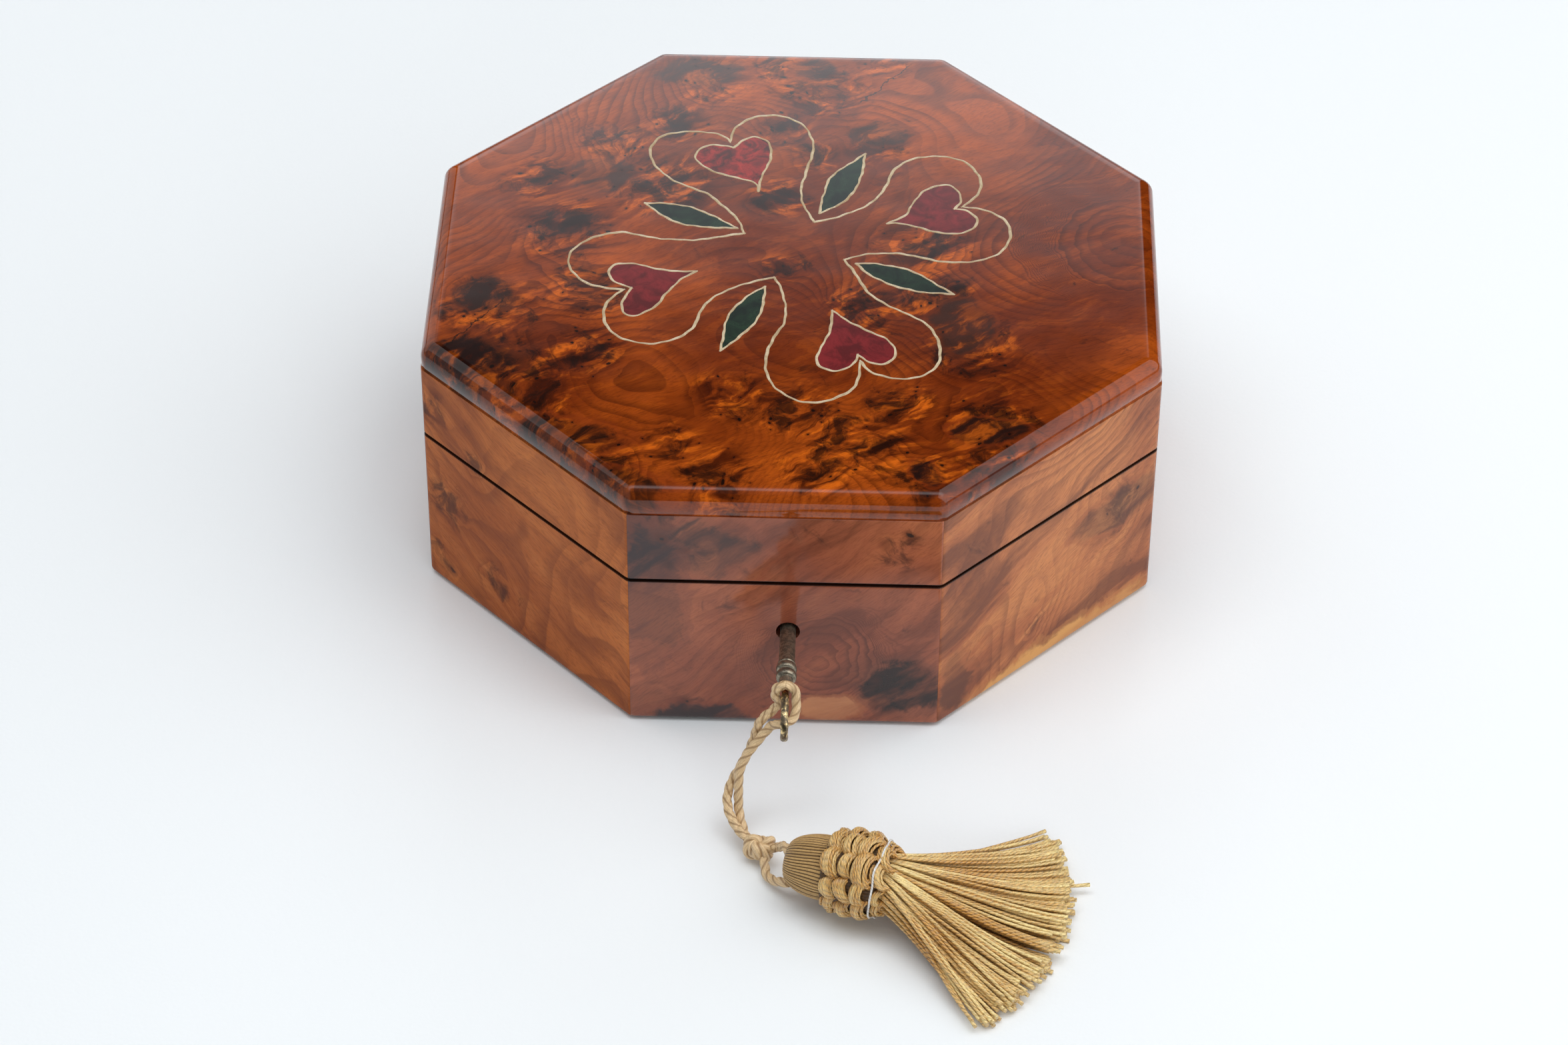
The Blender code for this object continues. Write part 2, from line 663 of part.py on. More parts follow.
def make_key(front_board, lock):
    # A turned shank and collar along -Y, an oval bow that stands upright, and a bit in the lock.
    profile = key_profile()
    edges = [(i, i + 1) for i in range(len(profile) - 1)]
    mesh = bpy.data.meshes.new("key")
    mesh.from_pydata([(radius, 0, distance) for radius, distance in profile], edges, [])
    key = place(bpy.data.objects.new("key", mesh), BRONZE)
    key.location = (KEY_X, -APOTHEM, KEY_Z)
    key.rotation_euler = (pi / 2, 0, 0)
    screw = key.modifiers.new("Turned", "SCREW")
    screw.axis = "Z"
    screw.steps = screw.render_steps = KEY_SIDES
    screw.use_merge_vertices = True
    screw.merge_threshold = 0.01 * MM
    rings = [
        oval(BOW_LENGTH / 2, BOW_HEIGHT / 2),
        oval(BOW_LENGTH / 2 - BOW_RIM, BOW_HEIGHT / 2 - BOW_RIM),
    ]
    bow = flat_piece("bow", rings, -BOW_THICKNESS / 2, BOW_THICKNESS / 2)
    bow.rotation_euler = (pi / 2, 0, pi / 2)
    bow.location = (KEY_X, -APOTHEM - BOW_OUT, KEY_Z)
    add_boolean(key, as_cutter(bow), "UNION")
    bit_top = KEY_Z - KEY_SHANK_RADIUS / 2
    bit_front = -APOTHEM + KEY_INSIDE - KEY_BIT.y - FIT
    bit = box(
        "bit",
        (KEY_X - KEY_BIT.x / 2, bit_front, bit_top - KEY_BIT.z),
        (KEY_X + KEY_BIT.x / 2, bit_front + KEY_BIT.y, bit_top),
    )
    add_boolean(key, as_cutter(bit), "UNION")
    mouth = (KEY_X, -APOTHEM, KEY_Z)
    hole = rod("keyhole", KEYHOLE_RADIUS, 4 * WALL, mouth, (pi / 2, 0, 0), KEYHOLE_SIDES)
    slot = box(
        "keyhole_slot",
        (KEY_X - KEYHOLE_SLOT_WIDTH / 2, -APOTHEM - WALL, KEY_Z - KEYHOLE_SLOT_DROP),
        (KEY_X + KEYHOLE_SLOT_WIDTH / 2, -INNER_APOTHEM + WALL, KEY_Z),
    )
    for board in (front_board, lock):
        for cutter in (hole, slot):
            add_boolean(board, as_cutter(cutter))
    return key


# Cord and tassel

def smooth_curve(points, steps):
    # A curve through every point: each stretch bends by the points before and after it.
    points = [Vector(point) for point in points]
    ends = [2 * points[0] - points[1], *points, 2 * points[-1] - points[-2]]
    curve = []
    for a, b, c, d in zip(ends, ends[1:], ends[2:], ends[3:]):
        for step in range(steps):
            t = step / steps
            bend = (2 * a - 5 * b + 4 * c - d) * t * t + (3 * b - a - 3 * c + d) * t**3
            curve.append((2 * b + (c - a) * t + bend) / 2)
    return curve + [points[-1]]


def even_points(curve, spacing, start_gap=0.0, end_gap=0.0):
    # Evenly spaced points along the curve, leaving a gap at each end.
    xyz = np.array([tuple(point) for point in curve])
    along = np.concatenate([[0], np.cumsum(np.linalg.norm(np.diff(xyz, axis=0), axis=1))])
    start, end = start_gap, along[-1] - end_gap
    at = np.linspace(start, end, max(3, int(round((end - start) / spacing)) + 1))
    return [Vector([np.interp(s, along, xyz[:, i]) for i in range(3)]) for s in at]


def cord_place(sideways, out, height):
    # Millimetres from the key's axis, from the bow's middle and above the table.
    return Vector((KEY_X + sideways * MM, -APOTHEM - BOW_OUT - out * MM, height * MM))


def strand_curves():
    # The two strands lie side by side, and lean over each other by the route's slants.
    route = smooth_curve(PAIR_ROUTE, STEPS_PER_STRETCH)
    places = [cord_place(x, out, share * KEY_Z / MM) for x, out, share, _ in route]
    strands = ([], [])
    for i, (point, place_of) in enumerate(zip(route, places)):
        along = (places[min(i + 1, len(places) - 1)] - places[max(i - 1, 0)]).normalized()
        side = along.cross(Vector((0, 0, 1))).normalized()
        rise = side.cross(along)
        slant = radians(point[3])
        arm = (side * cos(slant) + rise * sin(slant)) * STRAND_SPACING / 2
        strands[0].append(place_of + arm)
        strands[1].append(place_of - arm)
    return strands


def make_cord():
    left, right = strand_curves()
    bow = Vector((KEY_X, -APOTHEM - BOW_OUT, KEY_Z))
    hitch = [
        bow + Vector((x * BESIDE_BOW, -out * CORD_DIAMETER, up * ABOVE_BOW))
        for x, out, up in HITCH_ROUTE
    ]
    route = [left[TURNS_KEPT], left[0], *hitch, right[0], right[TURNS_KEPT]]
    turn = smooth_curve(route, STEPS_PER_STRETCH)[STEPS_PER_STRETCH:-STEPS_PER_STRETCH]
    tube("cord_hitch", even_points(turn, STEP_ROUND_BOW, FIT, FIT), CORD_DIAMETER, CORD)
    for name, curve in (("left", left), ("right", right)):
        points = even_points(curve, STEP_ALONG_CORD, FIT / 2, FIT / 2)
        tube("cord_strand_" + name, points, CORD_DIAMETER, CORD)
    bpy.ops.mesh.primitive_uv_sphere_add(
        segments=KNOT_SEGMENTS, ring_count=KNOT_RINGS, radius=1, location=cord_place(*KNOT_PLACE)
    )
    knot = bpy.context.object
    knot.name = "cord_knot"
    for vertex in knot.data.vertices:
        vertex.co = Vector(a * b for a, b in zip(vertex.co, KNOT_HALF_SIZES))
    place(knot, CORD)
    for name, route in (("upper", UPPER_END_ROUTE), ("lower", LOWER_END_ROUTE)):
        curve = smooth_curve([cord_place(*point) for point in route], STEPS_PER_STRETCH)
        tube("cord_end_" + name, even_points(curve, STEP_ALONG_CORD), CORD_DIAMETER, CORD)


def tassel_frame():
    # The middle of the head's start, and unit vectors along the tassel's axis, sideways and up.
    flat = Vector((cos(TASSEL_HEADING), sin(TASSEL_HEADING), 0))
    along = flat * cos(TASSEL_RISE) + Vector((0, 0, sin(TASSEL_RISE)))
    side = Vector((0, 0, 1)).cross(along).normalized()
    start = cord_place(*TASSEL_PLACE, 0)
    start.z = RUFF_RADIUS + TABLE_GAP - HEAD_LENGTH * sin(TASSEL_RISE)
    return start, along, side, along.cross(side)


def turned_body(name, stations, sides, lobes=lambda s, angle: 1.0):
    # A body about the tassel's axis: stations are (distance from the start, radius).
    start, along, side, rise = tassel_frame()
    rings = []
    for distance, radius in stations:
        ring = []
        for i in range(sides):
            angle = 2 * pi * i / sides
            arm = (side * cos(angle) + rise * sin(angle)) * radius * lobes(distance, angle)
            ring.append(start + along * distance + arm)
        rings.append(ring)
    return loft(name, rings)


def make_head():
    # A dome that narrows a little again towards the ruff.
    stations = []
    for step in range(HEAD_STATIONS):
        share = step / (HEAD_STATIONS - 1)
        dome = HEAD_START_SHARE + (1 - HEAD_START_SHARE) * sqrt(1 - (1 - share) ** 2)
        narrowing = 1 - (1 - HEAD_END_SHARE) * share
        stations.append((HEAD_LENGTH * share, HEAD_RADIUS * dome * narrowing))
    place(turned_body("tassel_head", stations, HEAD_SIDES), TASSEL)


def make_ruff():
    # Rings of loops: each ring bulges, and its lobes sit between those of the next one.
    start = HEAD_LENGTH + FIT
    ring_length = (RUFF_LENGTH - FIT) / RUFF_RINGS
    stations = []
    for step in range(RUFF_RINGS * RUFF_STEPS + 1):
        bulge = abs(sin(pi * step / RUFF_STEPS))
        share = RUFF_WAIST_SHARE + (1 - RUFF_WAIST_SHARE) * bulge
        stations.append((start + ring_length * step / RUFF_STEPS, RUFF_RADIUS * share))

    def lobes(distance, angle):
        position = (distance - start) / ring_length
        ring_number = min(int(position), RUFF_RINGS - 1)
        bulge = abs(sin(pi * position))
        valley = 1 - abs(cos(RUFF_LOBES / 2 * angle + ring_number * pi / 2))
        return 1 - RUFF_LOBE_DEPTH * bulge * valley

    place(turned_body("tassel_ruff", stations, RUFF_SIDES, lobes), TASSEL)


def make_skirt():
    # Cut threads that fan out from the ruff and settle flat on the table.
    start, along, _, _ = tassel_frame()
    origin = start + along * (HEAD_LENGTH + RUFF_LENGTH + SKIRT_GAP)
    ahead = Vector((cos(SKIRT_HEADING), sin(SKIRT_HEADING), 0))
    aside = Vector((-sin(SKIRT_HEADING), cos(SKIRT_HEADING), 0))
    end_half = SKIRT_END_THICKNESS / 2
    rings = []
    for station in range(SKIRT_STATIONS):
        share = station / (SKIRT_STATIONS - 1)
        settle = (1 - share) ** SKIRT_SETTLING
        half_height = end_half + (SKIRT_START_RADIUS - end_half) * settle
        middle = end_half + TABLE_GAP + (origin.z - end_half - TABLE_GAP) * settle
        ring = []
        for i in range(SKIRT_SIDES):
            angle = 2 * pi * i / SKIRT_SIDES
            fan = SKIRT_SPREAD * cos(angle)
            reach = SKIRT_LENGTH * share
            forward = reach * cos(fan)
            sideways = SKIRT_START_RADIUS * (1 - share) * cos(angle) + reach * sin(fan)
            point = Vector((origin.x, origin.y, 0)) + ahead * forward + aside * sideways
            ring.append(point + Vector((0, 0, middle + half_height * sin(angle))))
        rings.append(ring)
    place(loft("tassel_skirt", rings), TASSEL)


# Assembly

def main():
    hinge_line = bpy.data.objects.new("lid_hinge_axis", None)
    hinge_line.location = (0, HINGE_AXIS_Y, HINGE_AXIS_Z)
    PARTS.objects.link(hinge_line)
    body, lid = make_boards()
    make_bottom()
    panel = make_lid_panel()
    on_lid = [panel, *lid, *make_inlay(panel)]
    back = FACES.index("back")
    for name, side in (("hinge_left", -1), ("hinge_right", 1)):
        on_lid.append(make_hinge(name, side * HINGE_SPREAD / 2, body[back], lid[back]))
    lock, striker = make_lock(body[0], lid[0])
    on_lid.append(striker)
    make_key(body[0], lock)
    make_cord()
    make_head()
    make_ruff()
    make_skirt()
    bpy.context.view_layer.update()
    for piece in on_lid:
        where = piece.matrix_world.copy()
        piece.parent = hinge_line
        piece.matrix_world = where


main()
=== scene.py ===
from math import cos, pi, radians, sin, tan

import bpy
import numpy as np
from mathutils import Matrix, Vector


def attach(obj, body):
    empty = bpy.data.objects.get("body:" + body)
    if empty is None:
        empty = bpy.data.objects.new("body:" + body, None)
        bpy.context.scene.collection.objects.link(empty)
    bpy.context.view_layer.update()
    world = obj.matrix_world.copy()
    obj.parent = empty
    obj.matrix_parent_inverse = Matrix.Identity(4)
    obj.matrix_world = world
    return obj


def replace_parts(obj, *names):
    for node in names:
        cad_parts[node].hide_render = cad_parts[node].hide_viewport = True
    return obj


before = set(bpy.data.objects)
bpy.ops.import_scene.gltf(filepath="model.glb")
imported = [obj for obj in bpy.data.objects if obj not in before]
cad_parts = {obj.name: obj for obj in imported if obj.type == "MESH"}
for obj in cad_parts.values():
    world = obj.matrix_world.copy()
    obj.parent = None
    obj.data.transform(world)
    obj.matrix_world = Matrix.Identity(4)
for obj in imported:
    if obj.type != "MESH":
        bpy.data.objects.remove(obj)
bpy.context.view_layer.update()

mm = 0.001
chance = np.random.default_rng(41)


# Nodes

class Graph:
    # Short calls for the nodes of one tree.
    def __init__(self, tree):
        self.nodes, self.links = tree.nodes, tree.links

    def feed(self, socket, value):
        if isinstance(value, bpy.types.NodeSocket):
            self.links.new(value, socket)
        elif isinstance(value, tuple) and len(value) == 3 and socket.type == "RGBA":
            socket.default_value = (*value, 1)
        else:
            socket.default_value = value

    def add(self, kind, settings=None, **inputs):
        node = self.nodes.new("ShaderNode" + kind)
        for key, value in (settings or {}).items():
            setattr(node, key, value)
        for key, value in inputs.items():
            self.feed(node.inputs[key], value)
        return node

    def maths(self, operation, *values, clamp=False):
        node = self.add("Math", {"operation": operation, "use_clamp": clamp})
        for socket, value in zip(node.inputs, values):
            self.feed(socket, value)
        return node.outputs[0]

    def plus(self, first, second):
        return self.maths("ADD", first, second)

    def minus(self, first, second):
        return self.maths("SUBTRACT", first, second)

    def times(self, first, second, clamp=False):
        return self.maths("MULTIPLY", first, second, clamp=clamp)

    def vector(self, operation, *values, scale=None):
        node = self.add("VectorMath", {"operation": operation})
        for socket, value in zip(node.inputs, values):
            self.feed(socket, value)
        if scale is not None:
            self.feed(node.inputs["Scale"], scale)
        return node.outputs["Value" if operation in ("DISTANCE", "LENGTH", "DOT_PRODUCT") else "Vector"]

    def split(self, vector):
        node = self.add("SeparateXYZ")
        self.feed(node.inputs[0], vector)
        return node.outputs[:3]

    def noise(self, place, scale, detail=2.0, roughness=0.5, distortion=0.0):
        node = self.add("TexNoise", Vector=place, Scale=scale, Detail=detail)
        self.feed(node.inputs["Roughness"], roughness)
        self.feed(node.inputs["Distortion"], distortion)
        return node.outputs[0]

    def drift(self, place, scale, detail, roughness, reach):
        # A wandering vector: reach x (noise - 1/2) on each axis.
        node = self.add("TexNoise", Vector=place, Scale=scale, Detail=detail, Roughness=roughness)
        colour = self.vector("SUBTRACT", node.outputs["Color"], (0.5, 0.5, 0.5))
        return self.vector("SCALE", colour, scale=reach)

    def grade(self, value, low, high, start=0.0, end=1.0):
        # From start to end, smoothly, while the value goes from low to high.
        node = self.add("MapRange", {"interpolation_type": "SMOOTHSTEP"}, Value=value)
        for socket, number in (("From Min", low), ("From Max", high), ("To Min", start), ("To Max", end)):
            self.feed(node.inputs[socket], number)
        return node.outputs[0]

    def mix(self, share, first, second, kind="RGBA"):
        node = self.add("Mix", {"data_type": kind})
        sockets = (0, 6, 7) if kind == "RGBA" else (0, 2, 3)
        for socket, value in zip(sockets, (share, first, second)):
            self.feed(node.inputs[socket], value)
        return node.outputs[2 if kind == "RGBA" else 0]

    def bump(self, height, distance, strength=1.0):
        return self.add("Bump", Height=height, Distance=distance, Strength=strength).outputs[0]


class Paint(Graph):
    # A Principled material, and the places that its nodes start from.
    def __init__(self, name):
        self.material = bpy.data.materials.new(name)
        self.material.use_nodes = True
        super().__init__(self.material.node_tree)

    def shade(self, colour, roughness, normal, others):
        sockets = {"Base Color": colour, "Roughness": roughness, "Normal": normal, **others}
        for name, value in sockets.items():
            self.feed(self.nodes["Principled BSDF"].inputs[name], value)
        return self.material

    def mapped(self, place, turn=(0, 0, 0), scale=(1, 1, 1)):
        # The place scaled and then turned, in degrees.
        node = self.add("Mapping", Vector=place, Scale=scale)
        node.inputs["Rotation"].default_value = [radians(angle) for angle in turn]
        return node.outputs[0]

    def millimetres(self, turn=(0, 0, 0)):
        return self.mapped(self.add("TexCoord").outputs["Object"], turn, scale=(1000, 1000, 1000))

    def facePlace(self, side):
        # Millimetres along a side, up it and into it, for side 0 (the front) to 7.
        return self.mapped(self.millimetres((0, 0, -45 * side)), (-90, 0, 0))

    def lie(self):
        # (millimetres along, turns around) of a piece that has the "lie" UV map
        return self.split(self.add("UVMap", {"uv_map": "lie"}).outputs[0])[:2]

    def tone(self):
        return self.add("Attribute", {"attribute_name": "tone"}).outputs["Fac"]


# Camera, floor and lights

studio = {
    "cameraPlace": (19.166 * mm, -1036.05 * mm, 878.267 * mm),
    "cameraTurn": (49.25, -0.37, 1.51),
    "lens": 108.99,
    "floorColour": (0.87, 0.897, 0.91),
    # the sky, by the sines x (sideways), y (away from the camera) and z (up) of a direction
    "skyColour": (0.90, 0.95, 1.0),
    "skyStrength": (0.32, 2.0),  # low down and overhead
    "skyRise": (0.74, 0.95),  # z
    "backSky": (0.35, 0.03),  # the y from which the share after it is left
    "frontShade": 0.95,  # share of the sky kept back on the camera's side
    "frontShadeSides": (0.55, 0.30),  # the x where it begins and where it is full
    "frontShadeDepth": -0.25,  # the y where it is full
    # the bright wall behind: its light, and where it fades
    "wallStrength": 2.45,
    "wallFade": (0.632, 0.565),
    "wallSides": (0.26, 0.13),
    "wallDepth": (0.2, 0.6),
    # each soft box: place, the point it faces, width, height, watts
    "softBoxes": {
        "rightBox": ((0.95, -0.05, 1.0), (0, 0, 0.04), 1.9, 1.9, 14.0),
        "leftBox": ((-1.0, 0.7, 0.75), (0, 0, 0.04), 1.4, 1.4, 4.5),
        "frontBox": ((0.3, -1.5, 0.6), (0, 0, 0.03), 0.9, 0.5, 4.5),
        "topBox": ((-0.15, -0.2, 1.6), (0, 0, 0.04), 1.3, 1.3, 8.0),
    },
    "unmirrored": ("topBox", "frontBox"),  # the lid's rounded edge shows neither
}


def linkObject(obj):
    bpy.context.scene.collection.objects.link(obj)
    return obj


def makeCamera():
    # The view of the photo.
    data = bpy.data.cameras.new("photoCamera")
    data.sensor_fit = "HORIZONTAL"
    data.sensor_width = 36
    data.lens = studio["lens"]
    data.clip_end = 50
    camera = linkObject(bpy.data.objects.new("photoCamera", data))
    camera.location = studio["cameraPlace"]
    camera.rotation_euler = [radians(angle) for angle in studio["cameraTurn"]]
    bpy.context.scene.camera = camera
    bpy.context.scene.view_settings.view_transform = "Standard"


def makeLights():
    # Each soft box turned to face its point.
    for name, (place, target, width, height, watts) in studio["softBoxes"].items():
        light = bpy.data.lights.new(name, "AREA")
        light.shape = "RECTANGLE"
        light.size, light.size_y = width, height
        light.energy = watts
        obj = linkObject(bpy.data.objects.new(name, light))
        obj.location = place
        obj.rotation_euler = (Vector(place) - Vector(target)).to_track_quat("Z", "Y").to_euler()
        obj.visible_glossy = name not in studio["unmirrored"]


def makeSky():
    # Strength = wall(x) wall(y) wall(z) + sky(z) back(y) (1 - shade(x) shade(y)), each a smooth step.
    world = bpy.data.worlds.new("paleRoom")
    bpy.context.scene.world = world
    world.use_nodes = True
    g = Graph(world.node_tree)
    x, y, z = g.split(g.add("TexCoord").outputs["Generated"])
    aside = g.maths("ABSOLUTE", x)
    wall = g.times(g.grade(z, *studio["wallFade"], 0, studio["wallStrength"]),
                   g.grade(aside, *studio["wallSides"]))
    wall = g.times(wall, g.grade(y, *studio["wallDepth"]))
    backStart, backShare = studio["backSky"]
    sky = g.times(g.grade(z, *studio["skyRise"], *studio["skyStrength"]),
                  g.grade(y, 0, backStart, 1, backShare))
    shade = g.times(g.grade(y, 0, studio["frontShadeDepth"]),
                    g.grade(aside, *studio["frontShadeSides"], 0, studio["frontShade"]))
    sky = g.times(sky, g.minus(1, shade))
    background = g.nodes["Background"]
    g.feed(background.inputs["Color"], studio["skyColour"])
    g.feed(background.inputs["Strength"], g.plus(wall, sky))


def makeFloor():
    # A pale plane with a fine grain.
    bpy.ops.mesh.primitive_plane_add(size=8, location=(0, 1, 0))
    floor = bpy.context.object
    floor.name = "paleTable"
    p = Paint("paleTable")
    grain = p.noise(p.add("TexCoord").outputs["Object"], 900, 3)
    paint = p.shade(studio["floorColour"], 0.85, p.bump(grain, 0.25 * mm, 0.25), {"Specular IOR Level": 0.2})
    floor.data.materials.append(paint)


makeCamera()
makeLights()
makeSky()
makeFloor()
print("studio done")


# Surfaces

def unit(vectors):
    # Each vector divided by its length.
    return vectors / np.maximum(np.linalg.norm(vectors, axis=-1, keepdims=True), 1e-12)


def gridPiece(name, grid, body, paint, tone=None, ring=False, smooth=True):
    # grid[k, i, j] is skin k at row i along and column j around. Each skin closes round its
    # columns, and either ends in two flat caps or, as a ring, runs back into its first row.
    count, rows, columns, _ = grid.shape
    lastRow = rows if ring else rows - 1
    k = np.arange(count)[:, None, None] * rows
    i = np.arange(lastRow)[None, :, None]
    j = np.arange(columns)[None, None, :]
    near, far = (k + i) * columns, (k + (i + 1) % rows) * columns
    right = (j + 1) % columns
    quads = np.stack([near + j, near + right, far + right, far + j], -1).reshape(-1, 4)
    middle = grid.mean(axis=2)
    steps = np.linalg.norm(np.diff(middle, axis=1, append=middle[:, :1]), axis=2)
    along = np.concatenate([np.zeros((count, 1)), np.cumsum(steps, axis=1)], axis=1) / mm
    low, high = np.broadcast_arrays(along[:, :lastRow, None], along[:, 1:lastRow + 1, None])
    low, high = low + 0 * j, high + 0 * j
    left = np.broadcast_to(j / columns, low.shape)
    corners = [(low, left), (low, left + 1 / columns), (high, left + 1 / columns), (high, left)]
    uv = np.stack([np.stack(corner, -1) for corner in corners], -2).reshape(-1, 2)
    points = grid.reshape(-1, 3)
    a, b, c, d = (points[quads[:, n]] for n in range(4))
    volume = (a * (np.cross(b, c) + np.cross(c, d))).sum()
    caps = []
    if not ring:
        starts = np.arange(count)[:, None] * rows * columns
        first = starts + np.arange(columns)[::-1]
        last = starts + (rows - 1) * columns + np.arange(columns)
        caps = np.concatenate([first, last]).tolist()
        for cap in caps:
            ends = points[cap]
            volume += (ends[0] * np.cross(ends[1:-1], ends[2:])).sum()
        uv = np.concatenate([uv, np.zeros((2 * count * columns, 2))])
    faces = quads.tolist() + caps
    mesh = bpy.data.meshes.new(name)
    mesh.from_pydata(points.tolist(), [], faces)
    mesh.uv_layers.new(name="lie").data.foreach_set("uv", uv.astype(np.float32).ravel())
    if tone is not None:  # one value a point, or spread over the last axes
        shades = mesh.attributes.new("tone", "FLOAT", "POINT")
        whole = np.broadcast_to(tone, grid.shape[:3])
        shades.data.foreach_set("value", whole.astype(np.float32).ravel())
    flags = np.zeros(len(faces), dtype=bool)
    flags[:len(quads)] = smooth
    mesh.polygons.foreach_set("use_smooth", flags)
    if volume < 0:
        mesh.flip_normals()
    mesh.materials.append(paint)
    obj = linkObject(bpy.data.objects.new(name, mesh))
    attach(obj, body)
    return obj


def roundTubes(paths, radii, sides, reference):
    # A circle of radius r(i) about each path point, in the plane of the unit vectors
    # side = tangent x reference and rise = side x tangent.
    tangent = unit(np.gradient(paths, axis=1))
    side = unit(np.cross(tangent, reference))
    rise = np.cross(side, tangent)
    angle = 2 * pi * np.arange(sides) / sides
    circle = np.cos(angle)[:, None] * side[:, :, None] + np.sin(angle)[:, None] * rise[:, :, None]
    radii = np.broadcast_to(radii, paths.shape[:2])
    return paths[:, :, None] + radii[:, :, None, None] * circle


def carriedFrames(path):
    # Unit vectors across the path, each turned from the one before no more than the path bends.
    tangent = unit(np.gradient(path, axis=0))
    side = np.zeros_like(path)
    start = np.cross(tangent[0], (0.3, 0.5, 0.8))
    side[0] = start / np.linalg.norm(start)
    for i in range(1, len(path)):
        across = side[i - 1] - tangent[i] * side[i - 1].dot(tangent[i])
        side[i] = across / np.linalg.norm(across)
    return side, np.cross(tangent, side)


def smoothCurve(points, steps):
    # Through every point: p(t) = b + (c - a)t/2 + (2a - 5b + 4c - d)t^2/2 + (3b - a - 3c + d)t^3/2.
    points = np.asarray(points, dtype=float)
    whole = np.vstack([2 * points[0] - points[1], points, 2 * points[-1] - points[-2]])
    a, b, c, d = (whole[n:len(whole) - 3 + n, None] for n in range(4))
    t = (np.arange(steps) / steps)[:, None]
    curve = b + (c - a) * t / 2 + (2 * a - 5 * b + 4 * c - d) * t**2 / 2
    curve = curve + (3 * b - a - 3 * c + d) * t**3 / 2
    return np.vstack([curve.reshape(-1, points.shape[1]), points[-1:]])


def evenly(curve, spacing):
    # The curve again with points the same distance apart.
    along = np.concatenate([[0], np.cumsum(np.linalg.norm(np.diff(curve, axis=0), axis=1))])
    at = np.linspace(0, along[-1], max(3, int(round(along[-1] / spacing)) + 1))
    return np.stack([np.interp(at, along, curve[:, n]) for n in range(3)], axis=1)


# Box: sizes that the burl's painted seam shade needs too

box = {
    "across": 200 * mm,
    "wall": 9 * mm,
    "corner": 2.6 * mm,
    "cornerSteps": 8,
    "joint": 0.02 * mm,
    "bodyBottom": 0.8 * mm,
    "bodyTop": 49.9 * mm,
    "lidBottom": 50.8 * mm,
    "lidTop": 72.9 * mm,
    "foot": 1.2 * mm,
    "rim": 0.2 * mm,
}


# Paints

burlTop = {
    "light": (0.36, 0.064, 0.006),
    "mid": (0.165, 0.024, 0.003),
    "deep": (0.040, 0.0055, 0.0013),
    "dark": (0.008, 0.003, 0.002),
    "flame": (0.66, 0.130, 0.008),
    "coat": 1.0,
    "warp": 22,
    "ringScale": 0.0095,
    "rings": 62,
    "ringPitch": 0.0,  # rings a millimetre across the grain, for plainer boards
    "ringStrength": 0.52,
    "flameTurn": 32,
    "flameScale": (0.055, 0.16, 0.12),
    "flameShare": 0.85,
    "calmFlame": 0.16,
    "fibre": 0.42,
    "arcs": [(93, 12, 34, 0.24)],  # x, y, radius and rings a millimetre of round figures
    "arcStrength": 1.1,
    # patches: x, y, half sizes, colour and rim colour
    "patches": [
        (-89, -47, 15, 11, (0.012, 0.004, 0.003), (0.16, 0.028, 0.006)),
        (-84, -18, 8, 7, (0.025, 0.009, 0.006), (0.16, 0.028, 0.006)),
        (-66, -78, 20, 8, (0.014, 0.005, 0.003), (0.20, 0.030, 0.006)),
        (-48, -96, 14, 7, (0.018, 0.006, 0.003), (0.20, 0.030, 0.006)),
        (-55, 38, 9, 8, (0.050, 0.018, 0.012), (0.17, 0.030, 0.007)),
        (-30, 88, 13, 7, (0.050, 0.020, 0.014), (0.17, 0.030, 0.007)),
        (5, 90, 6, 6, (0.040, 0.016, 0.012), (0.17, 0.030, 0.007)),
        (22, 60, 8, 5, (0.040, 0.014, 0.009), (0.17, 0.030, 0.007)),
        (46, -27, 7, 12, (0.045, 0.014, 0.008), (0.17, 0.030, 0.007)),
        (54, -72, 9, 5, (0.018, 0.006, 0.004), (0.20, 0.030, 0.006)),
        (36, -90, 3.5, 5, (0.012, 0.005, 0.004), (0.20, 0.030, 0.006)),
    ],
    "cracks": [(31, 94, 17, 74), (-78.5, -19, -97, -47.5)],  # from x, y to x, y
    "cloudShare": 0.85,
    "eyeSpacing": 2.6,
    # clusters of eyes: x, y, radius in millimetres
    "clusters": [
        (-64, 11, 15), (-35, 62, 10), (-53, 53, 12), (-38, 33, 17), (-25, 84, 13), (-6, 92, 9), (6, 81, 14),
        (24, 93, 8), (-5, 61, 9), (4, 48, 9), (-6, 28, 10), (22, 54, 10), (36, 10, 14), (-4, -4, 7),
        (19, -21, 12), (-56, -15, 13), (-84, -22, 15), (-55, -41, 12), (-78, -54, 22), (-14, -60, 12),
        (2, -66, 13), (29, -62, 11), (49, -36, 15), (54, -68, 14), (8, -88, 12), (-31, -80, 9),
        (-50, -88, 13), (38, -14, 12), (-72, 36, 11), (36, -90, 10), (-18, -92, 11), (22, -80, 13),
        (54, -86, 11), (-68, -66, 12), (12, -74, 9),
    ],
}


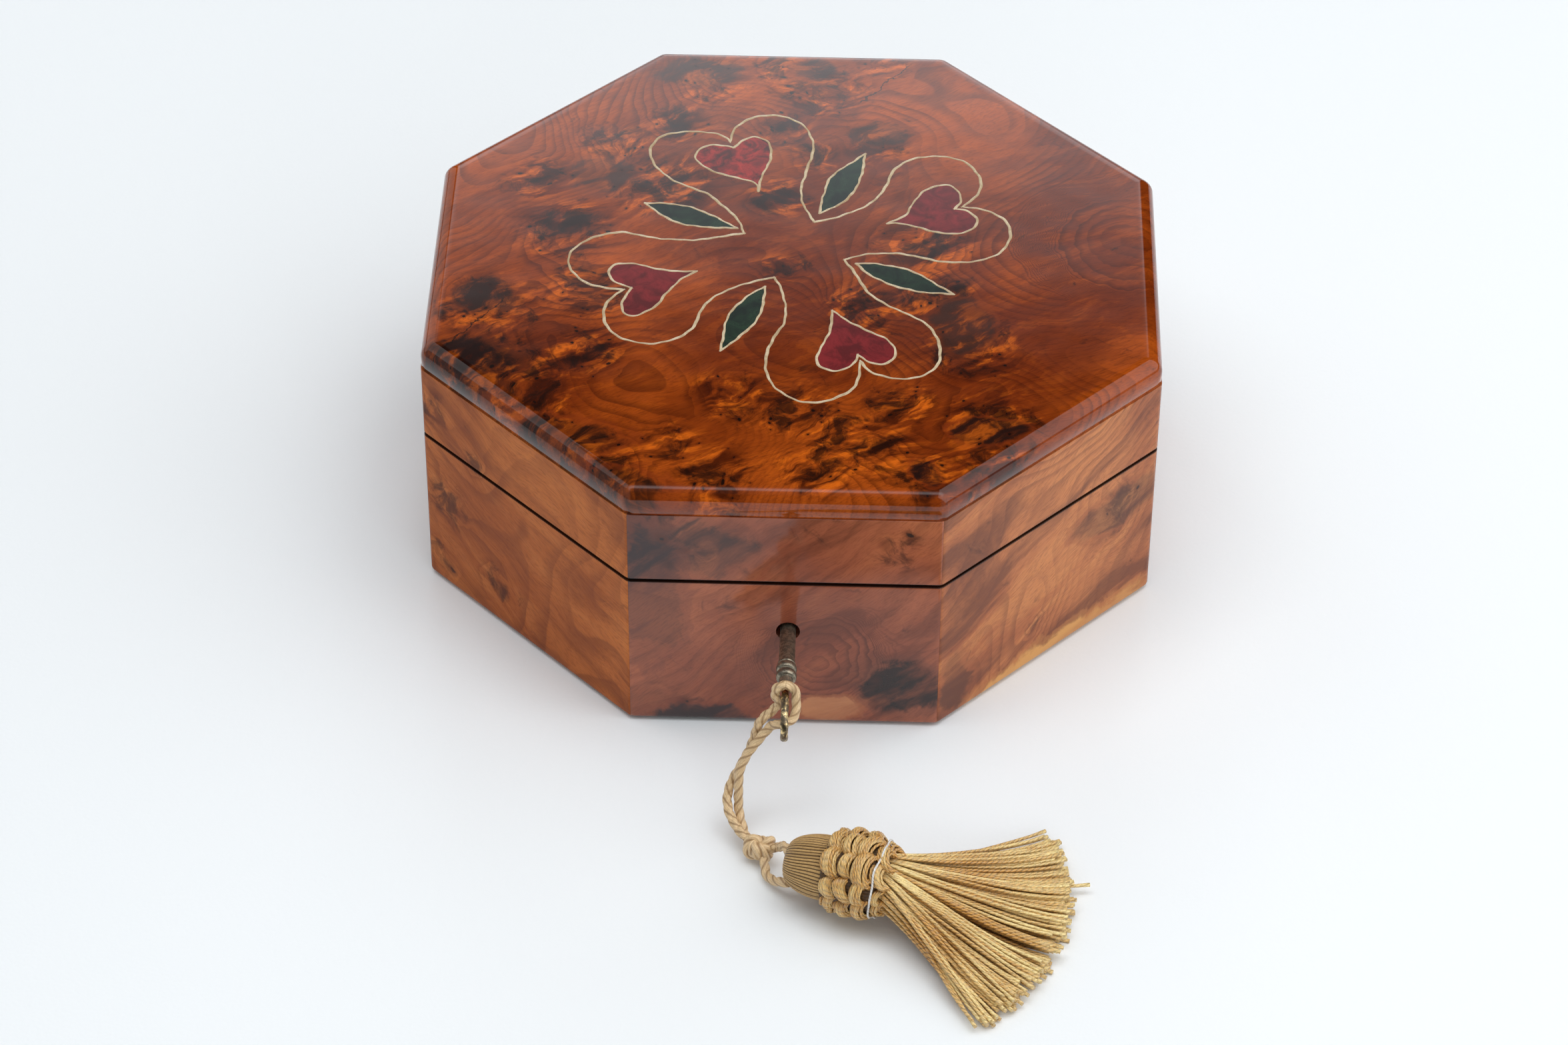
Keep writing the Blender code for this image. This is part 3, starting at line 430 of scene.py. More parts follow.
def addPatches(p, wood, look, flat, rough, flame):
    # A patch: |(place - middle) / half sizes| + 1.5 rough < 1.6 ... 1.95, with a rim just outside.
    for x, y, halfWide, halfHigh, colour, rim in look["patches"]:
        beside = p.vector("MULTIPLY", p.vector("SUBTRACT", flat, (x, y, 0)), (1 / halfWide, 1 / halfHigh, 0))
        edge = p.plus(p.vector("LENGTH", beside), p.times(rough, 1.5))
        inside = p.grade(edge, 1.95, 1.6)
        border = p.times(p.grade(edge, 2.2, 1.98), p.minus(1.0, inside))
        wood = p.mix(p.times(border, 0.4), wood, rim)
        wood = p.mix(p.times(inside, p.grade(flame, 0.62, 0.40, 0.45, 0.95)), wood, colour)
    return wood


def addEyes(p, wood, look, bent, near):
    # A round eye in each cell that is lucky, as large as it is lucky, with a halo about it.
    cells = p.add("TexVoronoi", {"feature": "F1"}, Vector=bent, Scale=1 / look["eyeSpacing"])
    luck = p.add("SeparateColor", Color=cells.outputs["Color"]).outputs[0]
    size = p.times(p.minus(luck, 0.45), 0.42)
    size = p.times(size, p.grade(near, 0.10, 0.5))
    edge = p.minus(cells.outputs["Distance"], size)
    eye = p.times(p.grade(edge, 0.04, -0.04), p.grade(size, 0.01, 0.05))
    halo = p.times(p.grade(edge, 0.32, 0.0), p.grade(size, 0.0, 0.1))
    wood = p.mix(p.times(halo, 0.5), wood, look["deep"])
    return p.mix(p.times(eye, 0.95), wood, look["dark"])


def addCracks(p, wood, look, place):
    # A crack: |distance across + wander| < 0.3 ... 0.1 mm between its two ends.
    wander = p.times(p.minus(p.noise(place, 0.16, 4, 0.6), 0.5), 6.0)
    for x, y, endX, endY in look["cracks"]:
        length = ((endX - x)**2 + (endY - y)**2) ** 0.5
        ahead = ((endX - x) / length, (endY - y) / length, 0)
        fromStart = p.vector("SUBTRACT", place, (x, y, 0))
        run = p.vector("DOT_PRODUCT", fromStart, ahead)
        off = p.vector("DOT_PRODUCT", fromStart, (-ahead[1], ahead[0], 0))
        gap = p.grade(p.maths("ABSOLUTE", p.plus(off, wander)), 0.30, 0.10)
        reach = p.times(p.grade(run, -2, 2), p.grade(run, length + 2, length - 2))
        wood = p.mix(p.times(p.times(gap, reach), 0.8), wood, look["dark"])
    return wood


def addSeamShade(p, wood, place):
    # Painted shade in the joint under the lid: dark within 0.85 mm of its height and 2 mm of the outer face.
    _, height, depth = p.split(place)
    joint = (box["bodyTop"] + box["lidBottom"]) / 2 / mm
    off = p.maths("ABSOLUTE", p.minus(height, joint))
    seamShade = p.times(p.grade(off, 0.85, 0.5), p.grade(depth, 97.4, 98.8, 0, 0.92))
    return p.mix(seamShade, wood, (0.006, 0.003, 0.002))


def growthRings(p, look, seed, bent, across, near, flat, bend):
    # Contour lines of a soft noise, each dark on one side. Round an arc's middle its distance
    # takes the noise's place.
    field = p.noise(bent, look["ringScale"], 1.0, 0.4, 0.3)
    field = p.times(p.plus(field, p.times(near, 0.03)), look["rings"])
    field = p.plus(field, p.times(across, look["ringPitch"]))
    bold = 1.0
    for x, y, radius, rings in look["arcs"]:
        bowed = p.vector("ADD", flat, p.vector("SCALE", bend, scale=0.25))
        distance = p.vector("DISTANCE", bowed, (x, y, 0))
        inside = p.grade(distance, radius, radius * 0.6)
        field = p.mix(inside, field, p.times(distance, rings), "FLOAT")
        bold = p.maths("MAXIMUM", bold, p.times(inside, look["arcStrength"]))
    phase = p.maths("FRACT", field)
    ring = p.times(p.grade(phase, 0.35, 0.93), p.grade(phase, 1.0, 0.93))
    faint = p.grade(p.noise(seed, 0.03, 2), 0.35, 0.65, 0.3, 1.0)
    ring = p.times(ring, p.times(faint, look["ringStrength"]))
    return p.times(ring, bold, clamp=True)


def burlWood(name, look, side=None, shift=(0, 0, 0), gloss=0.05):
    # Streaked wood with growth rings. Round each cluster, where near is 1, it breaks into bright
    # flames and dark clouds, and small dark eyes sit in it.
    p = Paint(name)
    place = p.millimetres() if side is None else p.facePlace(side)
    seed = p.vector("ADD", place, shift)
    bend = p.drift(seed, 0.013, 3, 0.5, look["warp"])
    curl = p.drift(seed, 0.09, 3, 0.55, 9)
    near = 0.0
    flat = p.vector("MULTIPLY", p.vector("ADD", place, curl), (1, 1, 0))
    for x, y, radius in look["clusters"]:
        distance = p.vector("DISTANCE", flat, (x, y, 0))
        near = p.maths("MAXIMUM", near, p.grade(distance, radius * 1.35, radius * 0.2))
    bent = p.vector("ADD", seed, bend)
    bent = p.vector("ADD", bent, p.vector("SCALE", curl, scale=p.times(near, 0.8)))
    turned = p.mapped(bent, (0, 0, -look["flameTurn"]))
    ring = growthRings(p, look, seed, bent, p.split(turned)[1], near, flat, bend)

    flame = p.noise(p.vector("MULTIPLY", turned, look["flameScale"]), 1.0, 5, 0.58, 0.9)
    wild = p.grade(near, 0.05, 0.7, look["calmFlame"], 1.0)
    flaming = p.times(p.grade(flame, 0.50, 0.62), wild)
    shaded = p.times(p.grade(flame, 0.51, 0.38), wild)
    wood = p.mix(p.grade(p.noise(seed, 0.018, 3, 0.55), 0.36, 0.64), look["mid"], look["light"])
    wood = p.mix(p.times(flaming, look["flameShare"]), wood, look["flame"])
    wood = p.mix(p.times(shaded, 0.85), wood, look["deep"])
    wood = p.mix(ring, wood, look["deep"])
    fine = p.noise(p.vector("MULTIPLY", turned, (0.3, 2.6, 2.6)), 1.0, 3, 0.6)
    wood = p.mix(p.grade(fine, 0.42, 0.75, 0.0, look["fibre"]), wood, look["deep"])
    rough = p.noise(bent, 0.11, 6, 0.65, 0.8)
    cloudy = p.grade(p.plus(p.times(near, 0.20), rough), 0.60, 0.80)
    wood = p.mix(p.times(cloudy, look["cloudShare"]), wood, look["dark"])
    wood = addPatches(p, wood, look, flat, rough, flame)
    wood = addEyes(p, wood, look, bent, near)
    wood = addCracks(p, wood, look, place)
    if side is not None:
        # painted shade in the joint between lid and body
        wood = addSeamShade(p, wood, place)

    relief = p.plus(p.times(flame, 0.6), p.times(fine, 0.3))
    return p.shade(wood, p.grade(flame, 0.3, 0.7, 0.45, 0.32), p.bump(relief, 0.3 * mm, 0.5), {
        "Specular IOR Level": 0.0, "Coat Weight": look["coat"], "Coat Roughness": gloss, "Coat IOR": 1.5,
        "Coat Normal": p.bump(p.noise(place, 0.035), 0.15 * mm, 0.35)})


def inlayPaint(name, colour, dark, gloss=0.08):
    # Dyed veneer: soft mottling and a fine grain under the lacquer.
    p = Paint(name)
    place = p.millimetres()
    cloud = p.noise(place, 0.16, 5, 0.6, 1.0)
    grain = p.noise(place, 1.7)
    shade = p.mix(p.grade(cloud, 0.35, 0.65), dark, colour)
    shade = p.mix(p.grade(grain, 0.5, 0.75, 0.0, 0.4), shade, dark)
    return p.shade(shade, p.grade(cloud, 0.3, 0.7, 0.35, 0.5), p.bump(grain, 0.05 * mm, 0.4), {
        "Specular IOR Level": 0.0, "Coat Weight": 0.9, "Coat Roughness": gloss})


def metalPaint(name, bright, dull, share, roughness, metallic=1.0):
    # Worn metal: the bright colour shows through the dull one in patches.
    p = Paint(name)
    place = p.millimetres()
    worn = p.grade(p.noise(place, 0.9, 5, 0.65, 0.4), share + 0.08, share - 0.08)
    return p.shade(
        p.mix(worn, dull, bright), p.grade(worn, 0, 1, roughness + 0.12, roughness),
        p.bump(p.noise(place, 3.0, 4, 0.7), 0.04 * mm, 0.5), {"Metallic": metallic})


def plainWood(name, colour, dark):
    # Sanded boards: long grain along x with soft rings.
    p = Paint(name)
    place = p.millimetres()
    grain = p.noise(p.mapped(place, scale=(0.02, 0.22, 0.22)), 1.0, 5, 0.6, 0.6)
    fine = p.noise(p.mapped(place, scale=(0.3, 3.0, 3.0)), 1.0)
    shade = p.mix(p.grade(grain, 0.35, 0.65), dark, colour)
    shade = p.mix(p.grade(fine, 0.5, 0.75, 0.0, 0.4), shade, dark)
    return p.shade(shade, p.grade(fine, 0.3, 0.7, 0.5, 0.65), p.bump(fine, 0.06 * mm, 0.4), {})


def threadPaint(name, colour, dark, lightest, plies, lay, yarns, roughness, relief):
    # Twisted thread: ply(place) = |cos(pi plies (turns around - distance along / lay))|, its colour on
    # a ply and painted shade between two. Finer yarns lie aslant on each ply, with painted shade between
    # them. The attribute for tone and painted light lightens it: random tone, worn ends and painted
    # highlight.
    p = Paint(name)
    along, around = p.lie()
    twist = p.minus(around, p.maths("DIVIDE", along, lay))
    ply = p.maths("ABSOLUTE", p.maths("COSINE", p.times(twist, pi * plies)))
    lean = p.plus(p.times(twist, plies), p.maths("DIVIDE", along, lay * 0.8))
    yarn = p.maths("ABSOLUTE", p.maths("SINE", p.times(lean, pi * yarns)))
    hairs = p.noise(p.millimetres(), 2.2, 4, 0.6)
    # painted shade between the plies, then the lightening by tone and painted highlight, then painted shade
    # between the yarns
    shade = p.mix(p.grade(ply, 0.0, 0.75), dark, colour)
    shade = p.mix(p.times(p.tone(), 0.85, clamp=True), shade, lightest)
    shade = p.mix(p.grade(yarn, 0.5, 0.0, 0.0, 0.45), shade, dark)
    shade = p.mix(p.grade(hairs, 0.5, 0.75, 0.0, 0.55), shade, dark)
    height = p.plus(ply, p.times(yarn, 0.35))
    return p.shade(
        shade, p.grade(hairs, 0.3, 0.7, roughness, roughness + 0.15), p.bump(height, relief, 0.9),
        {"Specular IOR Level": 0.9, "Sheen Weight": 0.05, "Sheen Roughness": 0.4})


def headThreadPaint():
    # Threads laid side by side, with painted shade between two of them: the attribute for tone and painted
    # light is 0 between two of them and 1 on their backs.
    p = Paint("laidThread")
    hairs = p.noise(p.millimetres(), 1.6, 4, 0.6)
    along, around = p.lie()
    ply = p.plus(p.times(along, 2 * pi / 1.2), p.times(around, 900))
    shade = p.mix(p.grade(p.tone(), 0.25, 1.0), (0.065, 0.028, 0.006), (0.60, 0.37, 0.135))
    shade = p.mix(p.grade(hairs, 0.45, 0.75, 0.0, 0.5), shade, (0.24, 0.13, 0.04))
    return p.shade(
        shade, p.grade(hairs, 0.3, 0.7, 0.38, 0.5), p.bump(p.maths("SINE", ply), 0.05 * mm, 0.5),
        {"Sheen Weight": 0.12})


# colour, painted shade between the plies, lightest (for tone and painted highlight), plies, lay, yarns,
# roughness, relief
cordPaint = threadPaint(
    "twistedCord", (0.74, 0.53, 0.29), (0.33, 0.19, 0.08), (0.92, 0.82, 0.60), 3, 10, 4, 0.42, 0.12 * mm)
tasselPaint = threadPaint(
    "tasselThread", (0.64, 0.300, 0.052), (0.18, 0.060, 0.008), (1.0, 0.80, 0.36), 2, 3.2, 1, 0.24, 0.16 * mm)
whitePaint = threadPaint(
    "whiteThread", (0.82, 0.80, 0.77), (0.5, 0.48, 0.44), (0.9, 0.9, 0.88), 2, 1.6, 1, 0.45, 0.06 * mm)
headPaint = headThreadPaint()
print("paints done")


# Cord: the same routes as the solid model's

cord = {
    "diameter": 2.6 * mm,
    "strandGap": 0.35 * mm,
    "layLength": 10 * mm,
    "groove": 0.30,
    "spacing": 0.25 * mm,
    "columns": 54,
    "knot": ((0.3, 0.95, 1.28), (0.3 + pi / 3, 0.72, 1.1)),  # turn, size and thickness of each trefoil
}
keyPlace = np.array((1, -100, 33.4)) * mm
bowOut = 31.3 * mm
besideBow = (1.9 * mm + cord["diameter"]) / 2 + 0.3 * mm
aboveBow = (11 * mm + cord["diameter"]) / 2 + 0.3 * mm
pairRoute = [
    (-5.8, 1.0, 0.856, 15), (-8.4, 2.5, 0.707, -35), (-11.0, 4.2, 0.551, -53),
    (-12.7, 6.2, 0.404, -30), (-13.3, 8.6, 0.287, 0), (-12.7, 11.1, 0.201, 20),
    (-11.1, 14.4, 0.141, 45), (-9.4, 17.6, 0.129, 60),
]
hitchRoute = [
    (-2.12, -0.15, -0.34), (-1.25, -0.42, -0.07), (-0.67, -0.69, 0.20), (-1.02, -0.88, 0.55),
    (-0.82, -0.96, 0.87), (0.0, -0.96, 1.007), (0.82, -0.92, 0.89), (1.10, -0.73, 0.59),
    (1.14, -0.27, 0.24), (1.06, 0.31, -0.01), (0.59, 0.85, -0.155), (-0.12, 1.12, -0.20),
    (-0.78, 1.12, -0.27), (-1.25, 0.69, -0.45),
]
hitchTop = 5
knotPlace = (-5.7, 21.1, 4.4)
tasselPlace = (1.6, 32.2)
upperEnd = [(-1.1, 22.6, 6.2), (-0.1, 25.1, 9.0), (1.1, 28.0, 11.6)]
lowerEnd = [(-4.4, 25.9, 3.2), (-3.9, 28.5, 2.2), (-2.2, 31.3, 2.8), (-0.2, 33.5, 4.4), (2.0, 35.0, 5.6)]
tassel = {
    "heading": radians(-18.8),
    "rise": radians(4),
    "headLength": 12 * mm,
    "headRadius": 8.9 * mm,
    "headThreads": 58,
    "headGroove": 0.36 * mm,
    # the dimple round the cord: radii, and distances along
    "headMouth": ((0.8 * mm, 2.0 * mm, 2.9 * mm), (0.9 * mm, 0.35 * mm, 0.05 * mm)),
    "ruffLength": 14 * mm,
    "ruffRadius": 11.8 * mm,
    # rings of puffs: distance along and reach in millimetres, puffs, threads a puff, turn
    "puffRings": [
        (14.4, 10.7, 9, 10, 0.1), (18.6, 11.3, 9, 10, 0.16), (23.0, 11.5, 9, 10, 0.1), (27.2, 9.6, 9, 7, 0.3),
    ],
    "puffHeight": 3.1 * mm,
    "puffLength": 4.2 * mm,
    "puffThread": 0.86,  # share of the skirt's thread
    "core": (12.1 * mm, 17.5 * mm, 9.1 * mm, 6.7 * mm),  # start, length, radius, how much narrower its end
    "tie": (25.9 * mm, 10.1 * mm, 0.28 * mm),  # distance along, radius, the thread's radius
    "skirtHeading": radians(-12),
    "skirtSpread": radians(45.5),
    "skirtReach": (46.5 * mm, 2.8 * mm, 2.5 * mm),  # at the middle, and how it grows with f and f x f
    "skirtDisc": 6.4 * mm,
    "skirtHeights": (0.6 * mm, 5.2 * mm),
    "skirtEdges": [*np.linspace(-1.05, -0.96, 8), 1.05, 1.02, 0.99],  # threads set at the fan's sides
    "strayThread": (radians(11.4), 54.5 * mm, 0.6),  # heading, reach, rank
    "skirtThreads": 340,
    "threadRadius": 0.46 * mm,
}


def cordPlace(sideways, out, height):
    # Millimetres from the key's axis, from the bow's middle and above the table.
    return np.array((keyPlace[0] + sideways * mm, keyPlace[1] - bowOut - out * mm, height * mm))


def strandCurves():
    # Two strands on either side of the pair's route: places + arm and places - arm, where the arm
    # is half a cord and gap long, across the route and slanted by each row's last value.
    route = smoothCurve(pairRoute, 8)
    height = route[:, 2] * keyPlace[2] / mm
    places = cordPlace(0, 0, 0) + np.stack([route[:, 0], -route[:, 1], height], axis=1) * mm
    along = unit(np.gradient(places, axis=0))
    side = unit(np.cross(along, (0, 0, 1)))
    rise = np.cross(side, along)
    slant = np.radians(route[:, 3])[:, None]
    arm = (side * np.cos(slant) + rise * np.sin(slant)) * (cord["diameter"] + cord["strandGap"]) / 2
    return places + arm, places - arm


def tasselFrame():
    # Where the tassel's head starts, and unit vectors along it, beside it and out of its top.
    flat = np.array((cos(tassel["heading"]), sin(tassel["heading"]), 0))
    along = flat * cos(tassel["rise"]) + np.array((0, 0, sin(tassel["rise"])))
    side = unit(np.cross((0, 0, 1), along))
    start = cordPlace(*tasselPlace, 0)
    start[2] = tassel["ruffRadius"] + 0.3 * mm - tassel["headLength"] * sin(tassel["rise"])
    return start, along, side, np.cross(along, side)


def twistedSkin(path, thick=1.0):
    # r = R(1 - groove(1 - |cos(3/2(angle - turn))|)) with turn growing by 360 degrees a lay length
    side, rise = carriedFrames(path)
    steps = np.linalg.norm(np.diff(path, axis=0), axis=1)
    turn = 2 * pi * np.concatenate([[0], np.cumsum(steps)]) / cord["layLength"]
    angle = 2 * pi * np.arange(cord["columns"]) / cord["columns"]
    lobes = np.abs(np.cos(1.5 * (angle[None, :] - turn[:, None]))) ** 0.8
    radius = thick * cord["diameter"] / 2 * (1 - cord["groove"] * (1 - lobes))
    circle = np.cos(angle)[:, None] * side[:, None] + np.sin(angle)[:, None] * rise[:, None]
    return path[:, None] + radius[..., None] * circle


def makeCord():
    # One line from the tassel's core over the hitch's top to the short end, cut at the top into
    # the two strands. Each is a twisted skin round its part of the line.
    left, right = strandCurves()
    bow = keyPlace + np.array((0, -bowOut, 0))
    hitch = bow + np.array(hitchRoute) * (besideBow, -cord["diameter"], aboveBow)
    start, along, _, _ = tasselFrame()
    knot = cordPlace(*knotPlace)
    upper = np.array([cordPlace(*point) for point in upperEnd])
    lower = np.array([cordPlace(*point) for point in lowerEnd])
    core = start + np.outer(np.array((3, 12, 25.5)) * mm, along)
    leftRoute = np.vstack([hitch[hitchTop::-1], left[:-2:6], knot[None], upper, core])
    rightRoute = np.vstack([hitch[hitchTop:], right[:-2:6], knot[None], lower])
    whole = evenly(smoothCurve(np.vstack([leftRoute[::-1], rightRoute[1:]]), 12), cord["spacing"])
    top = int(np.argmin(np.linalg.norm(whole - hitch[hitchTop], axis=1)))
    skin = twistedSkin(whole)
    pieces = []
    for name, rows in (("cordLeft", slice(top, None, -1)), ("cordRight", slice(top, None))):
        piece = gridPiece(name, skin[rows][None], "box", cordPaint)
        pieces.append((piece, whole[rows]))
    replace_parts(pieces[0][0], "cord_hitch", "cord_strand_left", "cord_end_upper")
    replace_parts(pieces[1][0], "cord_strand_right", "cord_end_lower")

    # knot: trefoils (sin t + 2 sin 2t, cos t - 2 cos 2t, sin 3t), each size turned on its own
    t = np.linspace(0, 2 * pi, 260)
    skins = []
    x, y, z = np.sin(t) + 2 * np.sin(2 * t), np.cos(t) - 2 * np.cos(2 * t), 1.6 * np.sin(3 * t)
    for turn, size, thick in cord["knot"]:
        trefoil = np.stack([x * cos(turn) - y * sin(turn), x * sin(turn) + y * cos(turn), z], 1)
        skins.append(twistedSkin(knot + size * trefoil * np.array((1.1, 0.9, 1.0)) * mm, thick))
    knotPiece = gridPiece("cordKnot", np.array(skins), "box", cordPaint)
    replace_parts(knotPiece, "cord_knot")
    return pieces, knotPiece


cordPieces, knotPiece = makeCord()
print("cord done")


# Tassel

def aboutTassel(distance, reach, angle):
    # start + distance along + reach (cos(angle) side + sin(angle) rise), for each set of values
    start, along, side, rise = tasselFrame()
    distance, reach, angle = (np.asarray(value)[..., None] for value in (distance, reach, angle))
    return start + distance * along + reach * (np.cos(angle) * side + np.sin(angle) * rise)


def makeHead():
    # Threads laid side by side over a dome: r = R dome(s) + depth |sin(threads x angle / 2)|^0.7.
    threads = tassel["headThreads"]
    columns = threads * 8
    share = np.linspace(0, 1, 44)
    dome = 0.42 + 0.58 * (1 - (1 - share) ** 2) ** 0.55
    radius = np.concatenate([tassel["headMouth"][0], tassel["headRadius"] * dome * (1 - 0.06 * share)])
    distance = np.concatenate([tassel["headMouth"][1], tassel["headLength"] * share + 0.2 * mm])
    angle = 2 * pi * np.arange(columns) / columns
    number = np.arange(columns) // 8
    depth = tassel["headGroove"] * (0.7 + 0.6 * chance.random(threads)[number])
    wander = 0.03 * np.sin(3 * angle + 2.2 * distance[:, None] / (6 * mm))
    ridge = np.abs(np.sin(threads * angle / 2)) ** 0.7
    grow = np.minimum(radius / (4 * mm), 1)[:, None]
    reach = radius[:, None] + grow * depth * ridge - 0.2 * mm
    grid = aboutTassel(distance[:, None], reach, angle + wander)
    # painted shade in the grooves between the threads, with a random tone on each thread
    tone = (ridge ** 0.6)[None, :] * (0.75 + 0.25 * chance.random(threads)[number])
    piece = gridPiece("tasselHead", grid[None], "box", headPaint, tone=tone)
    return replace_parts(piece, "tassel_head")


def puffPaths(station, reach, count, threads, turn):
    # A puff is a low dome of threads side by side, thread u of -1 ... 1 along the tassel and t along
    # the thread: along = L u / 2 - C cos t, across = W sin t, outwards = H sqrt(1 - u^2) cos t.
    _, _, side, rise = tasselFrame()
    rowHeight, rowLength = tassel["puffHeight"], tassel["puffLength"] / 2
    t = np.linspace(-radians(84), radians(84), 15)[None, None, :]
    u = np.linspace(-0.92, 0.92, threads)[None, :, None]
    size = (1 + 0.10 * chance.standard_normal((count, 1, 1))).clip(0.8, 1.2)
    place = 2 * pi * (np.arange(count)[:, None, None] + turn) / count
    place = place + 0.05 * chance.standard_normal((count, 1, 1))
    lean = 0.22 * chance.standard_normal((count, 1, 1))
    loose = 0.12 * chance.standard_normal((count, threads, 1))
    halfWide = 1.16 * pi * reach / count * size
    across = halfWide * (1 - 0.2 * (u - 0.2) ** 2) * np.sin(t) * (1 + 0.3 * loose)
    ahead = rowLength * size * (u + loose) - (1.7 + 0.5 * u) * mm * np.cos(t) + across * lean
    out = reach - rowHeight + rowHeight * size * np.sqrt(1 - (0.9 * u) ** 2) * np.cos(t) ** 0.7
    paths = aboutTassel(station + mm + ahead, out, place + across / reach)
    outwards = np.broadcast_to(np.cos(place)[..., None] * side + np.sin(place)[..., None] * rise, paths.shape)
    points = paths.shape[2]
    return paths.reshape(-1, points, 3), outwards.reshape(-1, points, 3)


def makeRuff():
    # Rings of puffs, each thread a tube round its path: r = thread x share.
    puffs = [
        puffPaths(station * mm, reach * mm, count, threads, turn)
        for station, reach, count, threads, turn in tassel["puffRings"]
    ]
    paths, outwards = (np.concatenate(part) for part in zip(*puffs))
    grid = roundTubes(paths, tassel["threadRadius"] * tassel["puffThread"], 8, outwards)
    # painted highlight on each puff's crown, the middle of its threads, fading to painted shade at their
    # feet; times a random tone
    bend = np.cos(np.linspace(-1.45, 1.45, grid.shape[1]))[None, :, None]
    tone = (0.15 + 0.55 * chance.random(len(grid)))[:, None, None] * bend
    piece = gridPiece("tasselRuff", grid, "box", tasselPaint, tone=tone)
    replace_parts(piece, "tassel_ruff")
    # Core under the puffs: a ribbed drum that narrows over its last quarter, all in the head's painted shade
    # colour, as it carries no tone or light values.
    start, length, radius, narrower = tassel["core"]
    share = np.linspace(0, 1, 30)
    angle = 2 * pi * np.arange(240) / 240
    reach = radius - narrower * np.clip((share - 0.75) / 0.25, 0, 1) ** 1.3
    reach = reach[:, None] + 0.25 * mm * np.abs(np.sin(30 * angle))
    grid = aboutTassel((start + length * share)[:, None], reach, angle)
    inner = gridPiece("ruffCore", grid[None], "box", headPaint)
    # White thread tied round its end, a little wavy.
    station, radius, thread = tassel["tie"]
    turn = np.linspace(0, 2 * pi, 120, endpoint=False)
    ring = aboutTassel(
        station + 0.9 * mm * np.sin(turn) + 0.25 * mm * np.sin(5 * turn),
        radius + 0.4 * mm * np.sin(9 * turn + 0.6), turn)
    _, along, _, _ = tasselFrame()
    circle = roundTubes(np.vstack([ring[-3:], ring, ring[:3]])[None], thread, 8, along)[:, 3:-3]
    white = gridPiece("whiteTie", circle, "box", whitePaint, tone=np.zeros(1), ring=True)
    return piece, inner, white


def skirtPaths():
    # Each thread leaves a disc at the ruff's end along the tassel and eases into its own ray of
    # the fan: p(t) = Hermite curve between the two places and directions.
    start, along, side, rise = tasselFrame()
    origin = start + along * (tassel["headLength"] + tassel["ruffLength"] - 1.5 * mm)
    count = tassel["skirtThreads"]
    rank = chance.random(count)
    fan = (2 * chance.random(count) - 1)
    fan = np.sign(fan) * np.abs(fan) ** 0.9
    height = 2 * rank - 1
    disc = tassel["skirtDisc"] * np.stack([fan * np.sqrt(1 - 0.8 * height**2), height], 1)
    begin = origin + disc @ np.stack([side, rise])
    edges = tassel["skirtEdges"]
    fan[:len(edges)] = edges
    clump = 0.016 * np.sin(47 * fan + 5 * rank) + 0.02 * np.sin(19 * fan + 2 + 4 * rank)
    angle = tassel["skirtHeading"] + tassel["skirtSpread"] * 0.98 * (fan + clump)
    angle = angle + radians(1.2) * chance.standard_normal(count)
    middle, tilt, curve = tassel["skirtReach"]
    reach = middle + tilt * fan + curve * fan**2 + 1.1 * mm * chance.standard_normal(count).clip(-2.5, 1.7)
    stray = len(edges)
    angle[stray], reach[stray], rank[stray] = tassel["strayThread"]
    ray = np.stack([np.cos(angle), np.sin(angle), np.zeros(count)], 1)
    end = origin + along * 2.1 * mm + ray * reach[:, None]
    low, high = tassel["skirtHeights"]
    end[:, 2] = low + (high - low) * rank * (1 - 0.5 * np.abs(fan) ** 3)
    t = np.linspace(0, 1, 12)[None, :, None]
    leave = along * middle * 0.32
    arrive = (ray + np.array((0, 0, -0.02))) * middle
    h0, h1 = 2 * t**3 - 3 * t**2 + 1, t**3 - 2 * t**2 + t
    h2, h3 = 3 * t**2 - 2 * t**3, t**3 - t**2
    paths = h0 * begin[:, None] + h1 * leave + h2 * end[:, None] + h3 * arrive[:, None]
    wave = np.sin(t[..., 0] * 7 + 6.3 * chance.random(count)[:, None]) * t[..., 0]
    paths[:, :, 2] = np.maximum(paths[:, :, 2] + 0.25 * mm * wave, 0.5 * mm)
    across = np.stack([-ray[:, 1], ray[:, 0], np.zeros(count)], 1)
    paths += (0.35 * mm * np.roll(wave, 5, axis=0))[..., None] * across[:, None]
    return paths, rank


def makeSkirt():
    # A tube round each path, a little thicker at its cut end. Tone = luck x height in the heap, with
    # painted shade on the lower threads; lighter worn ends; and painted highlight in two bands across the fan
    # where the bent threads catch the light.
    paths, rank = skirtPaths()
    count, points, _ = paths.shape
    radii = np.full((count, points), tassel["threadRadius"])
    radii[:, -1] *= 1.25
    grid = roundTubes(paths, radii, 6, np.array((0.0, 0.0, 1.0)))
    share = np.linspace(0, 1, points)[None, :, None]
    tone = (0.05 + 0.75 * chance.random(count)**1.5)[:, None, None] * (0.3 + 0.7 * rank)[:, None, None]
    shine = np.exp(-((share - 0.27) / 0.13) ** 2) + 0.8 * np.exp(-((share - 0.8) / 0.12) ** 2)
    tone = tone + 0.5 * share**10 + 0.9 * shine * (rank * chance.random(count))[:, None, None]
    piece = gridPiece("tasselSkirt", grid, "box", tasselPaint, tone=tone)
    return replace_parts(piece, "tassel_skirt")


headPiece = makeHead()
ruffPieces = makeRuff()
skirtPiece = makeSkirt()


print("tassel done")


# Box body and lid

